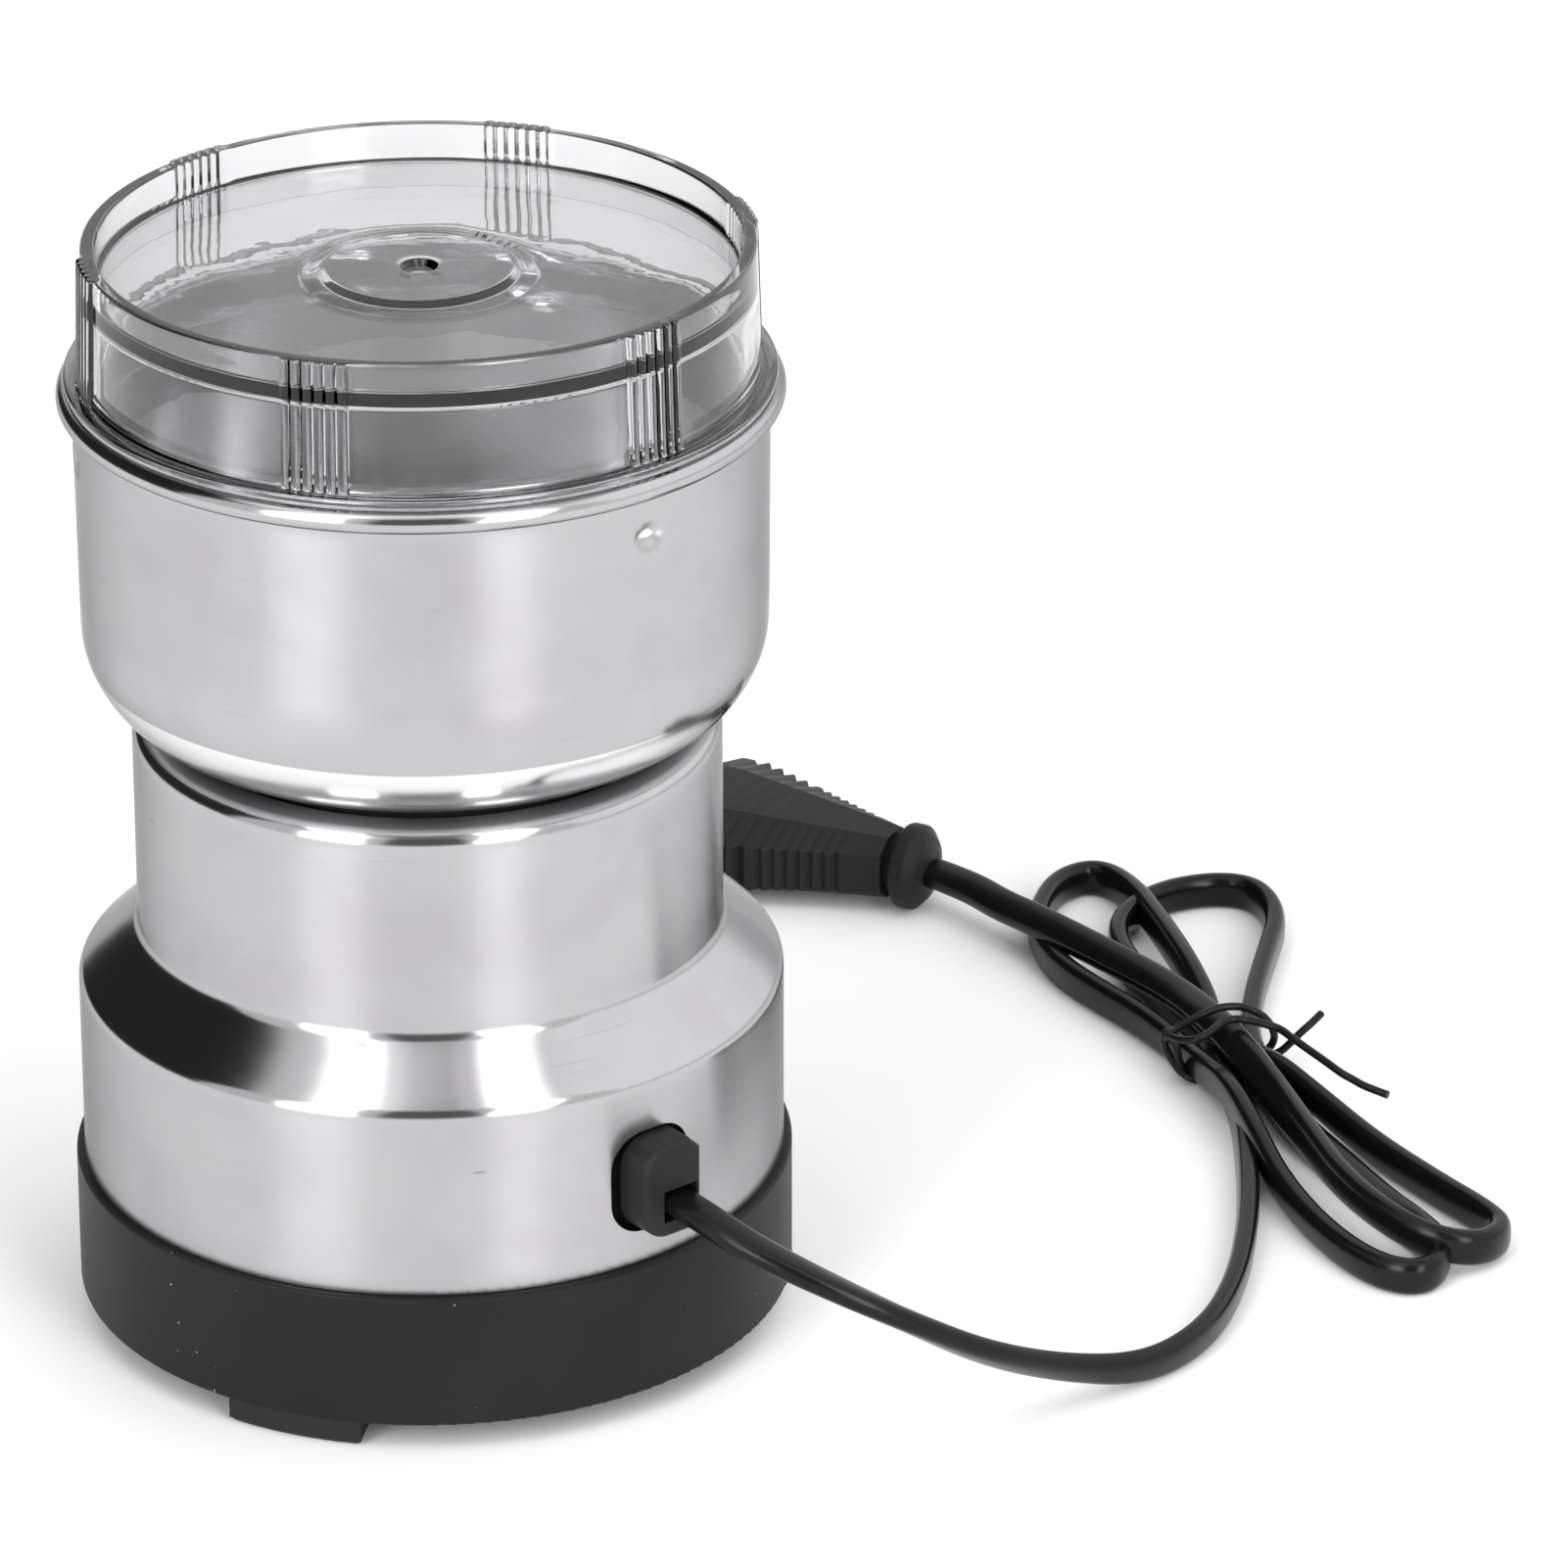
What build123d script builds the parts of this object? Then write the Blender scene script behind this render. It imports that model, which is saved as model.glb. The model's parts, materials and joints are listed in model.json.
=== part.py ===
# Electric spice grinder: steel housing and cup, clear press-down lid, tied mains lead and plug.
# Millimetres. +Z is up, the front is -Y, and the origin is on the standing plane, on the motor
# axis. A bearing is an angle about that axis, from the front towards +X.

import math
import os

from build123d import *

os.makedirs("parts", exist_ok=True)

# ---------------------------------------------------------------- driving dimensions
# black base
base_radius = 52.5
base_wall = 2.4
base_floor = 2.5
base_top = 24.4
base_edge_radius = 1.0
spigot_height = 3.6
foot_height = 4.0
foot_width = 6.2
foot_margin = 0.7
foot_arc = 23.0
foot_bearings = (-21.7, 98.3, 218.3)
vent_count = 12
vent_length = 14.0
vent_width = 2.2
vent_radius = 22.0

# steel housing
steel_wall = 0.8
drum_step = 1.2
drum_edge_height = 53.0
cone_top_height = 61.1
neck_radius = 42.5
neck_top_height = 92.5
mouth_radius = 36.0
mouth_depth = 4.5
mouth_bend = 1.12
housing_bend = 2.2

# inner frame
frame_wall = 2.2
spring_space = 6.3
deck_thickness = 3.5
frame_leg_arc = 26.0
frame_skirt_height = 58.0
base_screw_radius = 40.0
base_screw_length = 10.0

# cup and its carrier
cup_wall = 0.8
cup_sink = 0.2
cup_corner_radius = 16.5
cup_radius_low = 49.15
cup_radius_high = 49.5
bead_height = 143.05
bead_wire_radius = 1.6
bead_overhang = 2.2
dimple_bearings = (41.5, 161.5, 281.5)
dimple_height = 135.6
dimple_ball = 5.0
dimple_depth = 0.65
carrier_radius = 33.5
carrier_thickness = 3.5
post_radius = 2.5
post_pitch_radius = 27.0
post_bearings = (0.0, 120.0, 240.0)
stop_screw_length = 8.0
stop_screw_shank = 1.25
press_travel = 1.5

# lid
lid_top = 165.2
lid_wall = 2.0
lid_radius_top = 47.6
lid_radius_bottom = 48.2
lid_floor_top = 160.2
lid_floor_thickness = 1.8
lid_flange_overlap = 0.5
lid_flange_thickness = 1.4
lid_spigot_depth = 6.65
dome_radius = 16.4
dome_rise = 0.9
gate_radius = 2.7
grip_first_bearing = -15.5
grip_groups = 6
ribs_per_grip = 6
rib_pitch = 1.65
rib_radius = 0.55

# mains lead, gland and plug
gland_bearing = 39.3
gland_height = 37.4
gland_hole_width = 14.0
gland_hole_height = 15.8
gland_width = 10.2
gland_tall = 14.6
gland_stand_out = 5.0
gland_reach_in = 7.3
slot_shift = 1.3
slot_drop = 2.4
slot_width = 6.0
slot_tall = 5.0
slot_depth = 3.0
cord_diameter = 4.4
plug_x = 71.8
plug_y = 129.0
plug_height = 7.0
plug_heading = 153.3
plug_length = 40.0
plug_width = 35.0
plug_thickness = 13.7
pin_radius = 2.0
pin_length = 19.0
pin_spacing = 18.6

# motor
shaft_radius = 3.0
shaft_bottom = 13.0
core_bottom = 38.0
core_stack = 22.0
stator_radius = 34.0
stator_depth = 52.0
bore_radius = 19.5
air_gap = 0.5
pole_width = 22.6
coil_thickness = 5.0
bearing_outer_radius = 7.5
bearing_width = 5.0
lower_bracket_bottom = 12.0
upper_bracket_bottom = 73.0
bracket_thickness = 4.0
motor_bolt_spread = 30.7
motor_bolt_radius = 1.5
commutator_radius = 10.5
commutator_bottom = 21.5
commutator_length = 10.0
brush_height = 26.5
damper_spread = 33.5
damper_thickness = 2.5
fan_radius = 17.0
blade_thickness = 1.2
lower_blade_height = 100.5
lower_blade_reach = 36.0
upper_blade_reach = 29.0
blade_gap = 2.5

# clearances
running = 0.08
slide_gap = 0.3
seat_gap = 0.05
fit_gap = 0.1

# ---------------------------------------------------------------- sizes worked out from these
base_floor_top = foot_height + base_floor
foot_outer_radius = base_radius - foot_margin
foot_inner_radius = foot_outer_radius - foot_width
drum_radius = base_radius - drum_step
gland_face = drum_radius + gland_stand_out
gland_inside = drum_radius - gland_reach_in
spigot_radius = drum_radius - steel_wall - fit_gap
neck_bore = neck_radius - steel_wall
frame_radius = neck_bore - 2 * fit_gap
frame_bore = frame_radius - frame_wall
cup_bottom = neck_top_height + press_travel - cup_sink
carrier_bottom = cup_bottom - carrier_thickness
deck_top = carrier_bottom - spring_space
deck_underside = deck_top - deck_thickness
bead_outer_radius = cup_radius_high + bead_overhang
bead_radius = bead_outer_radius - bead_wire_radius
lid_seat = bead_height + bead_wire_radius + 0.2
lid_flange_radius = bead_radius + lid_flange_overlap
lid_spigot_bottom = lid_seat - lid_spigot_depth
core_top = core_bottom + core_stack
commutator_top = commutator_bottom + commutator_length
upper_blade_height = lower_blade_height + blade_thickness + blade_gap
shaft_top = upper_blade_height + blade_thickness + 3.6
bearing_hole = shaft_radius + running / 2
cord_radius = cord_diameter / 2


def spot(radius, bearing, height=0.0):
    """A point at a radius and bearing about the motor axis."""
    turn = math.radians(bearing)
    return Vector(radius * math.sin(turn), -radius * math.cos(turn), height)


def facing(bearing, distance, height):
    """A vertical plane that looks outward along a bearing, with its X level and Y up."""
    turn = math.radians(bearing)
    outward = Vector(math.sin(turn), -math.cos(turn), 0)
    level = Vector(math.cos(turn), math.sin(turn), 0)
    return Plane(origin=spot(distance, bearing, height), x_dir=level, z_dir=outward)


def sectors(inner, outer, arc):
    """Arc-shaped areas at the bearings of the feet, as a loose sketch."""
    wedges = [
        Polygon((0, 0), tuple(spot(1.2 * outer, b - arc / 2))[:2],
                tuple(spot(1.2 * outer, b + arc / 2))[:2], align=None)
        for b in foot_bearings
    ]
    ring = Circle(outer) - Circle(inner)
    return Sketch() + [ring & wedge for wedge in wedges]


def corner_radii(points, share=0.45):
    """The arc that each corner of a route leaves room for."""
    radii = []
    for before, here, after in zip(points, points[1:], points[2:]):
        first = Vector(*here) - Vector(*before)
        second = Vector(*after) - Vector(*here)
        half_turn = math.radians(first.get_angle(second) / 2)
        radii.append(share * min(first.length, second.length) / math.tan(half_turn))
    return radii


# ---------------------------------------------------------------- base
base_screw_points = [spot(base_screw_radius, b) for b in foot_bearings]
damper_points = [(0, -damper_spread), (0, damper_spread)]
base_boss_radius = 5.0
base_boss_top = 10.0
damper_boss_top = lower_bracket_bottom - damper_thickness
screw_head_radius = 3.3
screw_head_height = 2.4
screw_shank = 1.4
peg_radius = 1.5
peg_length = 2.0
foot_pegs = [spot((foot_inner_radius + foot_outer_radius) / 2, b + side)
             for b in foot_bearings for side in (-6, 6)]

with BuildPart() as base_tray:
    with BuildSketch(Plane.XZ):
        with BuildLine():
            Polyline(
                (0, foot_height),
                (base_radius, foot_height),
                (base_radius, base_top),
                (spigot_radius, base_top),
                (spigot_radius, base_top + spigot_height),
                (spigot_radius - base_wall, base_top + spigot_height),
                (spigot_radius - base_wall, base_top - base_wall),
                (base_radius - base_wall, base_top - 2 * base_wall),
                (base_radius - base_wall, base_floor_top),
                (0, base_floor_top),
                close=True,
            )
        make_face()
    revolve(axis=Axis.Z)
    rims = base_tray.edges().filter_by(GeomType.CIRCLE)
    outer_rims = [e for e in rims if abs(e.radius - base_radius) < 0.01]
    fillet(outer_rims, base_edge_radius / 2)
    with BuildSketch(Plane.XY.offset(base_floor_top)):
        with Locations(*base_screw_points):
            Circle(base_boss_radius)
    extrude(amount=base_boss_top - base_floor_top)
    with BuildSketch(Plane.XY.offset(base_floor_top)):
        with Locations(*damper_points):
            Circle(base_boss_radius)
    extrude(amount=damper_boss_top - base_floor_top)
    # vents under the motor
    with BuildSketch(Plane.XY.offset(foot_height)):
        with PolarLocations(vent_radius, vent_count, start_angle=180 / vent_count):
            SlotOverall(vent_length, vent_width)
    extrude(amount=base_floor, mode=Mode.SUBTRACT)
    # counterbored screw holes, from below
    with Locations(*[Location(p + Vector(0, 0, foot_height), (180, 0, 0)) for p in base_screw_points]):
        CounterBoreHole(screw_shank + running, screw_head_radius + fit_gap,
                        base_boss_top - foot_height - screw_head_height, depth=base_boss_top)
    # pilot holes for the motor screws and blind holes for the pegs of the feet
    with Locations(*[(x, y, damper_boss_top) for x, y in damper_points]):
        Hole(screw_shank + running, depth=damper_boss_top - foot_height - 1.5)
    with BuildSketch(Plane.XY.offset(foot_height)):
        with Locations(*foot_pegs):
            Circle(peg_radius + seat_gap)
    extrude(amount=peg_length + fit_gap, mode=Mode.SUBTRACT)
base_tray.part.label = "base_tray"
export_step(base_tray.part, "parts/base_tray.step")

foot_areas = sectors(foot_inner_radius, foot_outer_radius, foot_arc)
with BuildPart() as rubber_feet:
    with BuildSketch():
        add(foot_areas)
    extrude(amount=foot_height)
    chamfer(rubber_feet.faces().filter_by(Axis.Z).group_by(Axis.Z)[0].edges(), 0.7)
    with BuildSketch(Plane.XY.offset(foot_height)):
        with Locations(*foot_pegs):
            Circle(peg_radius)
    extrude(amount=peg_length)
rubber_feet.part.label = "rubber_feet"
export_step(rubber_feet.part, "parts/rubber_feet.step")

with BuildPart() as base_screws:
    with BuildSketch(Plane.XY.offset(base_boss_top - screw_head_height * 2)):
        with Locations(*base_screw_points):
            Circle(screw_head_radius)
    extrude(amount=screw_head_height)
    with BuildSketch(Plane.XY.offset(base_boss_top - screw_head_height)):
        with Locations(*base_screw_points):
            Circle(screw_shank)
    extrude(amount=base_screw_length)
    with BuildSketch(Plane.XY.offset(base_boss_top - screw_head_height * 2)):
        with Locations(*base_screw_points):
            Rectangle(1.3 * screw_head_radius, 0.27 * screw_head_radius)
            Rectangle(0.27 * screw_head_radius, 1.3 * screw_head_radius)
    extrude(amount=screw_head_height / 2, mode=Mode.SUBTRACT)
base_screws.part.label = "base_screws"
export_step(base_screws.part, "parts/base_screws.step")

# ---------------------------------------------------------------- steel housing
with BuildPart() as housing_shell:
    with BuildSketch(Plane.XZ):
        with BuildLine() as skin:
            FilletPolyline(
                (drum_radius, base_top),
                (drum_radius, drum_edge_height),
                (neck_radius, cone_top_height),
                (neck_radius, neck_top_height),
                (mouth_radius, neck_top_height),
                (mouth_radius, neck_top_height - mouth_depth),
                radius=[housing_bend, housing_bend, housing_bend, mouth_bend],
            )
            offset(amount=steel_wall, side=Side.LEFT)
        make_face()
    revolve(axis=Axis.Z)
    with BuildSketch(facing(gland_bearing, drum_radius - 6, gland_height)):
        RectangleRounded(gland_hole_width, gland_hole_height, 5.4)
    extrude(amount=12, mode=Mode.SUBTRACT)
housing_shell.part.label = "housing_shell"
export_step(housing_shell.part, "parts/housing_shell.step")

# ---------------------------------------------------------------- inner frame
deck_hole_radius = 12.0
frame_top = neck_top_height - steel_wall - seat_gap
frame_ring_bore = mouth_radius + mouth_bend + fit_gap
frame_boss_radius = 4.5
frame_boss_top = 22.0
switch_y = 27.0
switch_size = (20.0, 7.0, 10.5)
switch_bottom = 66.0
lug_thickness = 3.0
leg_areas = sectors(frame_bore, frame_radius, frame_leg_arc)

with BuildPart() as inner_frame:
    with BuildSketch(Plane.XZ):
        with BuildLine():
            Polyline(
                (frame_bore, frame_skirt_height),
                (frame_radius, frame_skirt_height),
                (frame_radius, frame_top - housing_bend),
                (frame_radius - housing_bend, frame_top),
                (frame_ring_bore, frame_top),
                (frame_ring_bore, deck_top),
                (deck_hole_radius, deck_top),
                (deck_hole_radius, deck_underside),
                (frame_bore, deck_underside),
                close=True,
            )
        make_face()
    revolve(axis=Axis.Z)
    # three legs down to the base, each with a screw boss
    with BuildSketch(Plane.XY.offset(base_boss_top)):
        add(leg_areas)
    extrude(amount=frame_skirt_height - base_boss_top)
    with BuildSketch(Plane.XY.offset(base_boss_top)):
        with Locations(*base_screw_points):
            Circle(frame_boss_radius)
    extrude(amount=frame_boss_top - base_boss_top)
    with BuildSketch(Plane.XY.offset(base_boss_top)):
        with Locations(*base_screw_points):
            Circle(screw_shank + running)
    extrude(amount=frame_boss_top - base_boss_top - 2, mode=Mode.SUBTRACT)
    # holes for the guide posts of the cup carrier and for its switch finger
    with BuildSketch(Plane.XY.offset(deck_underside)):
        with Locations(*[spot(post_pitch_radius, b) for b in post_bearings]):
            Circle(post_radius + running)
        with Locations((0, switch_y)):
            Circle(post_radius + slide_gap)
    extrude(amount=deck_thickness, mode=Mode.SUBTRACT)
    # lug that carries the microswitch
    with BuildSketch(Plane.XY.offset(switch_bottom - 2)):
        with Locations((0, switch_y + switch_size[1] / 2 + lug_thickness / 2)):
            Rectangle(switch_size[0], lug_thickness)
    extrude(amount=deck_underside - switch_bottom + 2)
    with BuildSketch(Plane.XZ.offset(-switch_y)):
        with Locations((-6.5, switch_bottom + 2.5), (6.5, switch_bottom + 2.5)):
            Circle(1.1 + seat_gap)
    extrude(amount=-10, mode=Mode.SUBTRACT)
inner_frame.part.label = "inner_frame"
export_step(inner_frame.part, "parts/inner_frame.step")

with BuildPart() as microswitch_body:
    with BuildSketch(Plane.XY.offset(switch_bottom)):
        with Locations((0, switch_y)):
            Rectangle(switch_size[0], switch_size[1])
    extrude(amount=switch_size[2])
    chamfer(microswitch_body.edges().filter_by(Axis.Z), 0.5)
    with Locations((0, switch_y, switch_bottom + switch_size[2])):
        Hole(1.5 + running, depth=7.3)
    with BuildSketch(Plane.XZ.offset(-switch_y + switch_size[1] / 2)):
        with Locations((-6.5, switch_bottom + 2.5), (6.5, switch_bottom + 2.5)):
            Circle(1.1 + seat_gap)
    extrude(amount=-switch_size[1], mode=Mode.SUBTRACT)
microswitch_body.part.label = "microswitch_body"
export_step(microswitch_body.part, "parts/microswitch_body.step")

finger_bottom = deck_underside - 0.5
with BuildPart() as switch_button:
    with BuildSketch(Plane.XY.offset(switch_bottom + 6)):
        with Locations((0, switch_y)):
            Circle(1.5)
    extrude(amount=finger_bottom - slide_gap - switch_bottom - 6)
    fillet(switch_button.edges().group_by(Axis.Z)[-1], 0.5)
switch_button.part.label = "switch_button"
export_step(switch_button.part, "parts/switch_button.step")

with BuildPart() as switch_screws:
    front = switch_y - switch_size[1] / 2
    with BuildSketch(Plane.XZ.offset(-front)):
        with Locations((-6.5, switch_bottom + 2.5), (6.5, switch_bottom + 2.5)):
            Circle(2.0)
    extrude(amount=1.6)
    with BuildSketch(Plane.XZ.offset(-front)):
        with Locations((-6.5, switch_bottom + 2.5), (6.5, switch_bottom + 2.5)):
            Circle(1.1)
    extrude(amount=-(switch_size[1] + lug_thickness - 0.4))
switch_screws.part.label = "switch_screws"
export_step(switch_screws.part, "parts/switch_screws.step")

tab_height = 5.0
switch_tab_x = 6.5
with BuildPart() as switch_tabs:
    with BuildSketch(Plane.XY.offset(switch_bottom - tab_height)):
        with Locations((-switch_tab_x, switch_y), (switch_tab_x, switch_y)):
            Rectangle(4.0, 0.8)
    extrude(amount=tab_height)
switch_tabs.part.label = "switch_tabs"
export_step(switch_tabs.part, "parts/switch_tabs.step")

# ---------------------------------------------------------------- motor, fixed part
bolt_points = [(-motor_bolt_spread, 0), (motor_bolt_spread, 0)]
post_outer = 3.4
hub_radius = bearing_outer_radius + 3.0
slot_outer_x = stator_radius - 7.5
window_low_y = pole_width / 2
window_high_y = 17.6

with BuildPart() as stator_core:
    with BuildSketch(Plane.XY.offset(core_bottom)):
        Circle(stator_radius)
        Rectangle(2 * stator_radius, stator_depth, mode=Mode.INTERSECT)
        Circle(bore_radius, mode=Mode.SUBTRACT)
        mid_x = (bore_radius + 1 + slot_outer_x) / 2
        mid_y = (window_low_y + window_high_y) / 2
        with GridLocations(2 * mid_x, 2 * mid_y, 2, 2):
            Rectangle(slot_outer_x - bore_radius - 1, window_high_y - window_low_y, mode=Mode.SUBTRACT)
        with GridLocations(0, 2 * (window_high_y - 1.25), 1, 2):
            Rectangle(2 * mid_x, 2.5, mode=Mode.SUBTRACT)
        with Locations(*bolt_points):
            Circle(motor_bolt_radius + 2 * running, mode=Mode.SUBTRACT)
    extrude(amount=core_stack)
stator_core.part.label = "stator_core"
export_step(stator_core.part, "parts/stator_core.step")

coil_x = bore_radius + 1.3
core_middle = core_bottom + core_stack / 2
with BuildPart() as field_coils:
    with BuildSketch(Plane.YZ.offset(coil_x)):
        with Locations((0, core_middle)):
            RectangleRounded(pole_width + 11.8, core_stack + 11.0, 4.5)
            Rectangle(pole_width + 0.4, core_stack + 0.4, mode=Mode.SUBTRACT)
    extrude(amount=coil_thickness)
    mirror(about=Plane.YZ)
field_coils.part.label = "field_coils"
export_step(field_coils.part, "parts/field_coils.step")

brush_box = (9.0, 8.0)
brush_size = (6.5, 5.5)
holder_front = commutator_radius + 1.7
holder_back = 29.0
brush_back = 21.0
pedestal_top = brush_height - brush_box[1] / 2
with BuildPart() as lower_motor_bracket:
    with BuildSketch(Plane.XY.offset(lower_bracket_bottom)):
        RectangleRounded(2 * motor_bolt_spread + 8, 12, 3)
        RectangleRounded(14, 2 * damper_spread + 9, 3)
        Circle(hub_radius)
    extrude(amount=bracket_thickness)
    with BuildSketch(Plane.XY.offset(lower_bracket_bottom)):
        Circle(hub_radius)
    extrude(amount=8)
    with BuildSketch(Plane.XY.offset(lower_bracket_bottom)):
        with Locations(*bolt_points):
            Circle(post_outer)
    extrude(amount=core_bottom - lower_bracket_bottom)
    with BuildSketch(Plane.XY.offset(lower_bracket_bottom)):
        with GridLocations(0, holder_front + holder_back, 1, 2):
            Rectangle(11, holder_back - holder_front - 3.2)
    extrude(amount=pedestal_top - lower_bracket_bottom)
    with BuildSketch(Plane.XY.offset(lower_bracket_bottom)):
        Circle(shaft_radius + 1)
        with Locations(*bolt_points):
            Circle(motor_bolt_radius + running)
        with Locations(*damper_points):
            Circle(screw_shank + 0.5)
    extrude(amount=core_bottom, mode=Mode.SUBTRACT)
    with BuildSketch(Plane.XY.offset(lower_bracket_bottom + 2)):
        Circle(bearing_outer_radius + seat_gap)
    extrude(amount=10, mode=Mode.SUBTRACT)
lower_motor_bracket.part.label = "lower_motor_bracket"
export_step(lower_motor_bracket.part, "parts/lower_motor_bracket.step")

upper_pocket = upper_bracket_bottom + 1.5
with BuildPart() as upper_motor_bracket:
    with BuildSketch(Plane.XY.offset(upper_bracket_bottom)):
        RectangleRounded(2 * motor_bolt_spread + 8, 12, 3)
        Circle(hub_radius)
    extrude(amount=3)
    with BuildSketch(Plane.XY.offset(upper_bracket_bottom)):
        Circle(hub_radius)
    extrude(amount=1.5 + bearing_width)
    with BuildSketch(Plane.XY.offset(core_top)):
        with Locations(*bolt_points):
            Circle(post_outer)
    extrude(amount=upper_bracket_bottom - core_top)
    with BuildSketch(Plane.XY.offset(core_top)):
        Circle(shaft_radius + 1)
        with Locations(*bolt_points):
            Circle(motor_bolt_radius + running)
    extrude(amount=20, mode=Mode.SUBTRACT)
    with BuildSketch(Plane.XY.offset(upper_pocket)):
        Circle(bearing_outer_radius + seat_gap)
    extrude(amount=10, mode=Mode.SUBTRACT)
upper_motor_bracket.part.label = "upper_motor_bracket"
export_step(upper_motor_bracket.part, "parts/upper_motor_bracket.step")


def bearing_outline(bottom):
    """Corner points of half a ball bearing with a step in its upper face."""
    top = bottom + bearing_width
    return [
        (bearing_hole, bottom),
        (bearing_outer_radius, bottom),
        (bearing_outer_radius, top),
        (bearing_outer_radius - 1.4, top),
        (bearing_outer_radius - 1.4, top - 0.4),
        (bearing_hole + 1.2, top - 0.4),
        (bearing_hole + 1.2, top),
        (bearing_hole, top),
    ]


with BuildPart() as lower_bearing:
    with BuildSketch(Plane.XZ):
        with BuildLine():
            Polyline(*bearing_outline(lower_bracket_bottom + 2), close=True)
        make_face()
    revolve(axis=Axis.Z)
lower_bearing.part.label = "lower_bearing"
export_step(lower_bearing.part, "parts/lower_bearing.step")

with BuildPart() as upper_bearing:
    with BuildSketch(Plane.XZ):
        with BuildLine():
            Polyline(*bearing_outline(upper_pocket), close=True)
        make_face()
    revolve(axis=Axis.Z)
upper_bearing.part.label = "upper_bearing"
export_step(upper_bearing.part, "parts/upper_bearing.step")

bolt_head_height = 2.6
nut_height = 2.6
with BuildPart() as motor_bolts:
    with BuildSketch(Plane.XY.offset(upper_bracket_bottom + 3)):
        with Locations(*bolt_points):
            Circle(post_outer - 0.2)
            RegularPolygon(1.5, 6, mode=Mode.SUBTRACT)
    extrude(amount=bolt_head_height)
    with BuildSketch(Plane.XY.offset(lower_bracket_bottom - nut_height)):
        with Locations(*bolt_points):
            Circle(motor_bolt_radius)
    extrude(amount=upper_bracket_bottom + 4 - lower_bracket_bottom + nut_height)
motor_bolts.part.label = "motor_bolts"
export_step(motor_bolts.part, "parts/motor_bolts.step")

with BuildPart() as motor_nuts:
    with BuildSketch(Plane.XY.offset(lower_bracket_bottom - nut_height)):
        with Locations(*bolt_points):
            RegularPolygon(post_outer, 6)
            Circle(motor_bolt_radius + running, mode=Mode.SUBTRACT)
    extrude(amount=nut_height)
motor_nuts.part.label = "motor_nuts"
export_step(motor_nuts.part, "parts/motor_nuts.step")

with BuildPart() as motor_dampers:
    with BuildSketch(Plane.XY.offset(damper_boss_top)):
        with Locations(*damper_points):
            Circle(base_boss_radius - 0.4)
            Circle(screw_shank + 0.5, mode=Mode.SUBTRACT)
    extrude(amount=damper_thickness)
motor_dampers.part.label = "motor_dampers"
export_step(motor_dampers.part, "parts/motor_dampers.step")

with BuildPart() as bracket_screws:
    with BuildSketch(Plane.XY.offset(lower_bracket_bottom + bracket_thickness)):
        with Locations(*damper_points):
            Circle(screw_head_radius)
    extrude(amount=2)
    with BuildSketch(Plane.XY.offset(base_floor_top)):
        with Locations(*damper_points):
            Circle(screw_shank)
    extrude(amount=lower_bracket_bottom + bracket_thickness - base_floor_top)
bracket_screws.part.label = "bracket_screws"
export_step(bracket_screws.part, "parts/bracket_screws.step")

with BuildPart() as brush_holders:
    with BuildSketch(Plane.XZ.offset(-holder_front)):
        with Locations((0, brush_height)):
            Rectangle(*brush_box)
    extrude(amount=-(holder_back - holder_front))
    with BuildSketch(Plane.XZ.offset(-holder_front)):
        with Locations((0, brush_height)):
            Rectangle(brush_size[0] + fit_gap, brush_size[1] + fit_gap)
    extrude(amount=-(holder_back - holder_front - 1.2), mode=Mode.SUBTRACT)
    mirror(about=Plane.XZ)
brush_holders.part.label = "brush_holders"
export_step(brush_holders.part, "parts/brush_holders.step")

with BuildPart() as carbon_brushes:
    with BuildSketch(Plane.XZ.offset(-(commutator_radius - 1))):
        with Locations((0, brush_height)):
            Rectangle(*brush_size)
    extrude(amount=-(brush_back - commutator_radius + 1))
    with Locations((0, 0, brush_height)):
        Cylinder(commutator_radius + fit_gap, 2 * brush_size[1], mode=Mode.SUBTRACT)
    mirror(about=Plane.XZ)
carbon_brushes.part.label = "carbon_brushes"
export_step(carbon_brushes.part, "parts/carbon_brushes.step")


def spring_coil(start, direction, length, coil_radius, wire, turns):
    """A round-wire compression spring between two seats."""
    run = length - 2 * wire - 2 * seat_gap
    axis = Vector(*direction)
    foot = Vector(*start) + axis * (wire + seat_gap)
    path = Helix(run / turns, run, coil_radius, center=foot, direction=direction)
    plane = Plane(origin=path @ 0, z_dir=path % 0)
    return sweep(plane * Circle(wire), path=path, is_frenet=True, mode=Mode.PRIVATE)


brush_spring_solids = [
    spring_coil((0, side * brush_back, brush_height), (0, side, 0),
                holder_back - 1.2 - brush_back, 1.9, 0.25, 5)
    for side in (-1, 1)
]
with BuildPart() as brush_springs:
    add(brush_spring_solids)
brush_springs.part.label = "brush_springs"
export_step(brush_springs.part, "parts/brush_springs.step")

return_spring_solids = [
    spring_coil(tuple(spot(post_pitch_radius, b, deck_top)), (0, 0, 1),
                carrier_bottom - deck_top, 4.2, 0.45, 3.5)
    for b in post_bearings
]
with BuildPart() as return_springs:
    add(return_spring_solids)
return_springs.part.label = "return_springs"
export_step(return_springs.part, "parts/return_springs.step")

# ---------------------------------------------------------------- rotor
with BuildPart() as rotor_shaft:
    with BuildSketch(Plane.XZ):
        with BuildLine():
            Polyline(
                (0, shaft_bottom),
                (shaft_radius, shaft_bottom),
                (shaft_radius, lower_blade_height),
                (shaft_radius - 0.5, lower_blade_height),
                (shaft_radius - 0.5, shaft_top),
                (0, shaft_top),
                close=True,
            )
        make_face()
    revolve(axis=Axis.Z)
    chamfer(rotor_shaft.edges().group_by(Axis.Z)[0], 0.6)
rotor_shaft.part.label = "rotor_shaft"
export_step(rotor_shaft.part, "parts/rotor_shaft.step")

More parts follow.
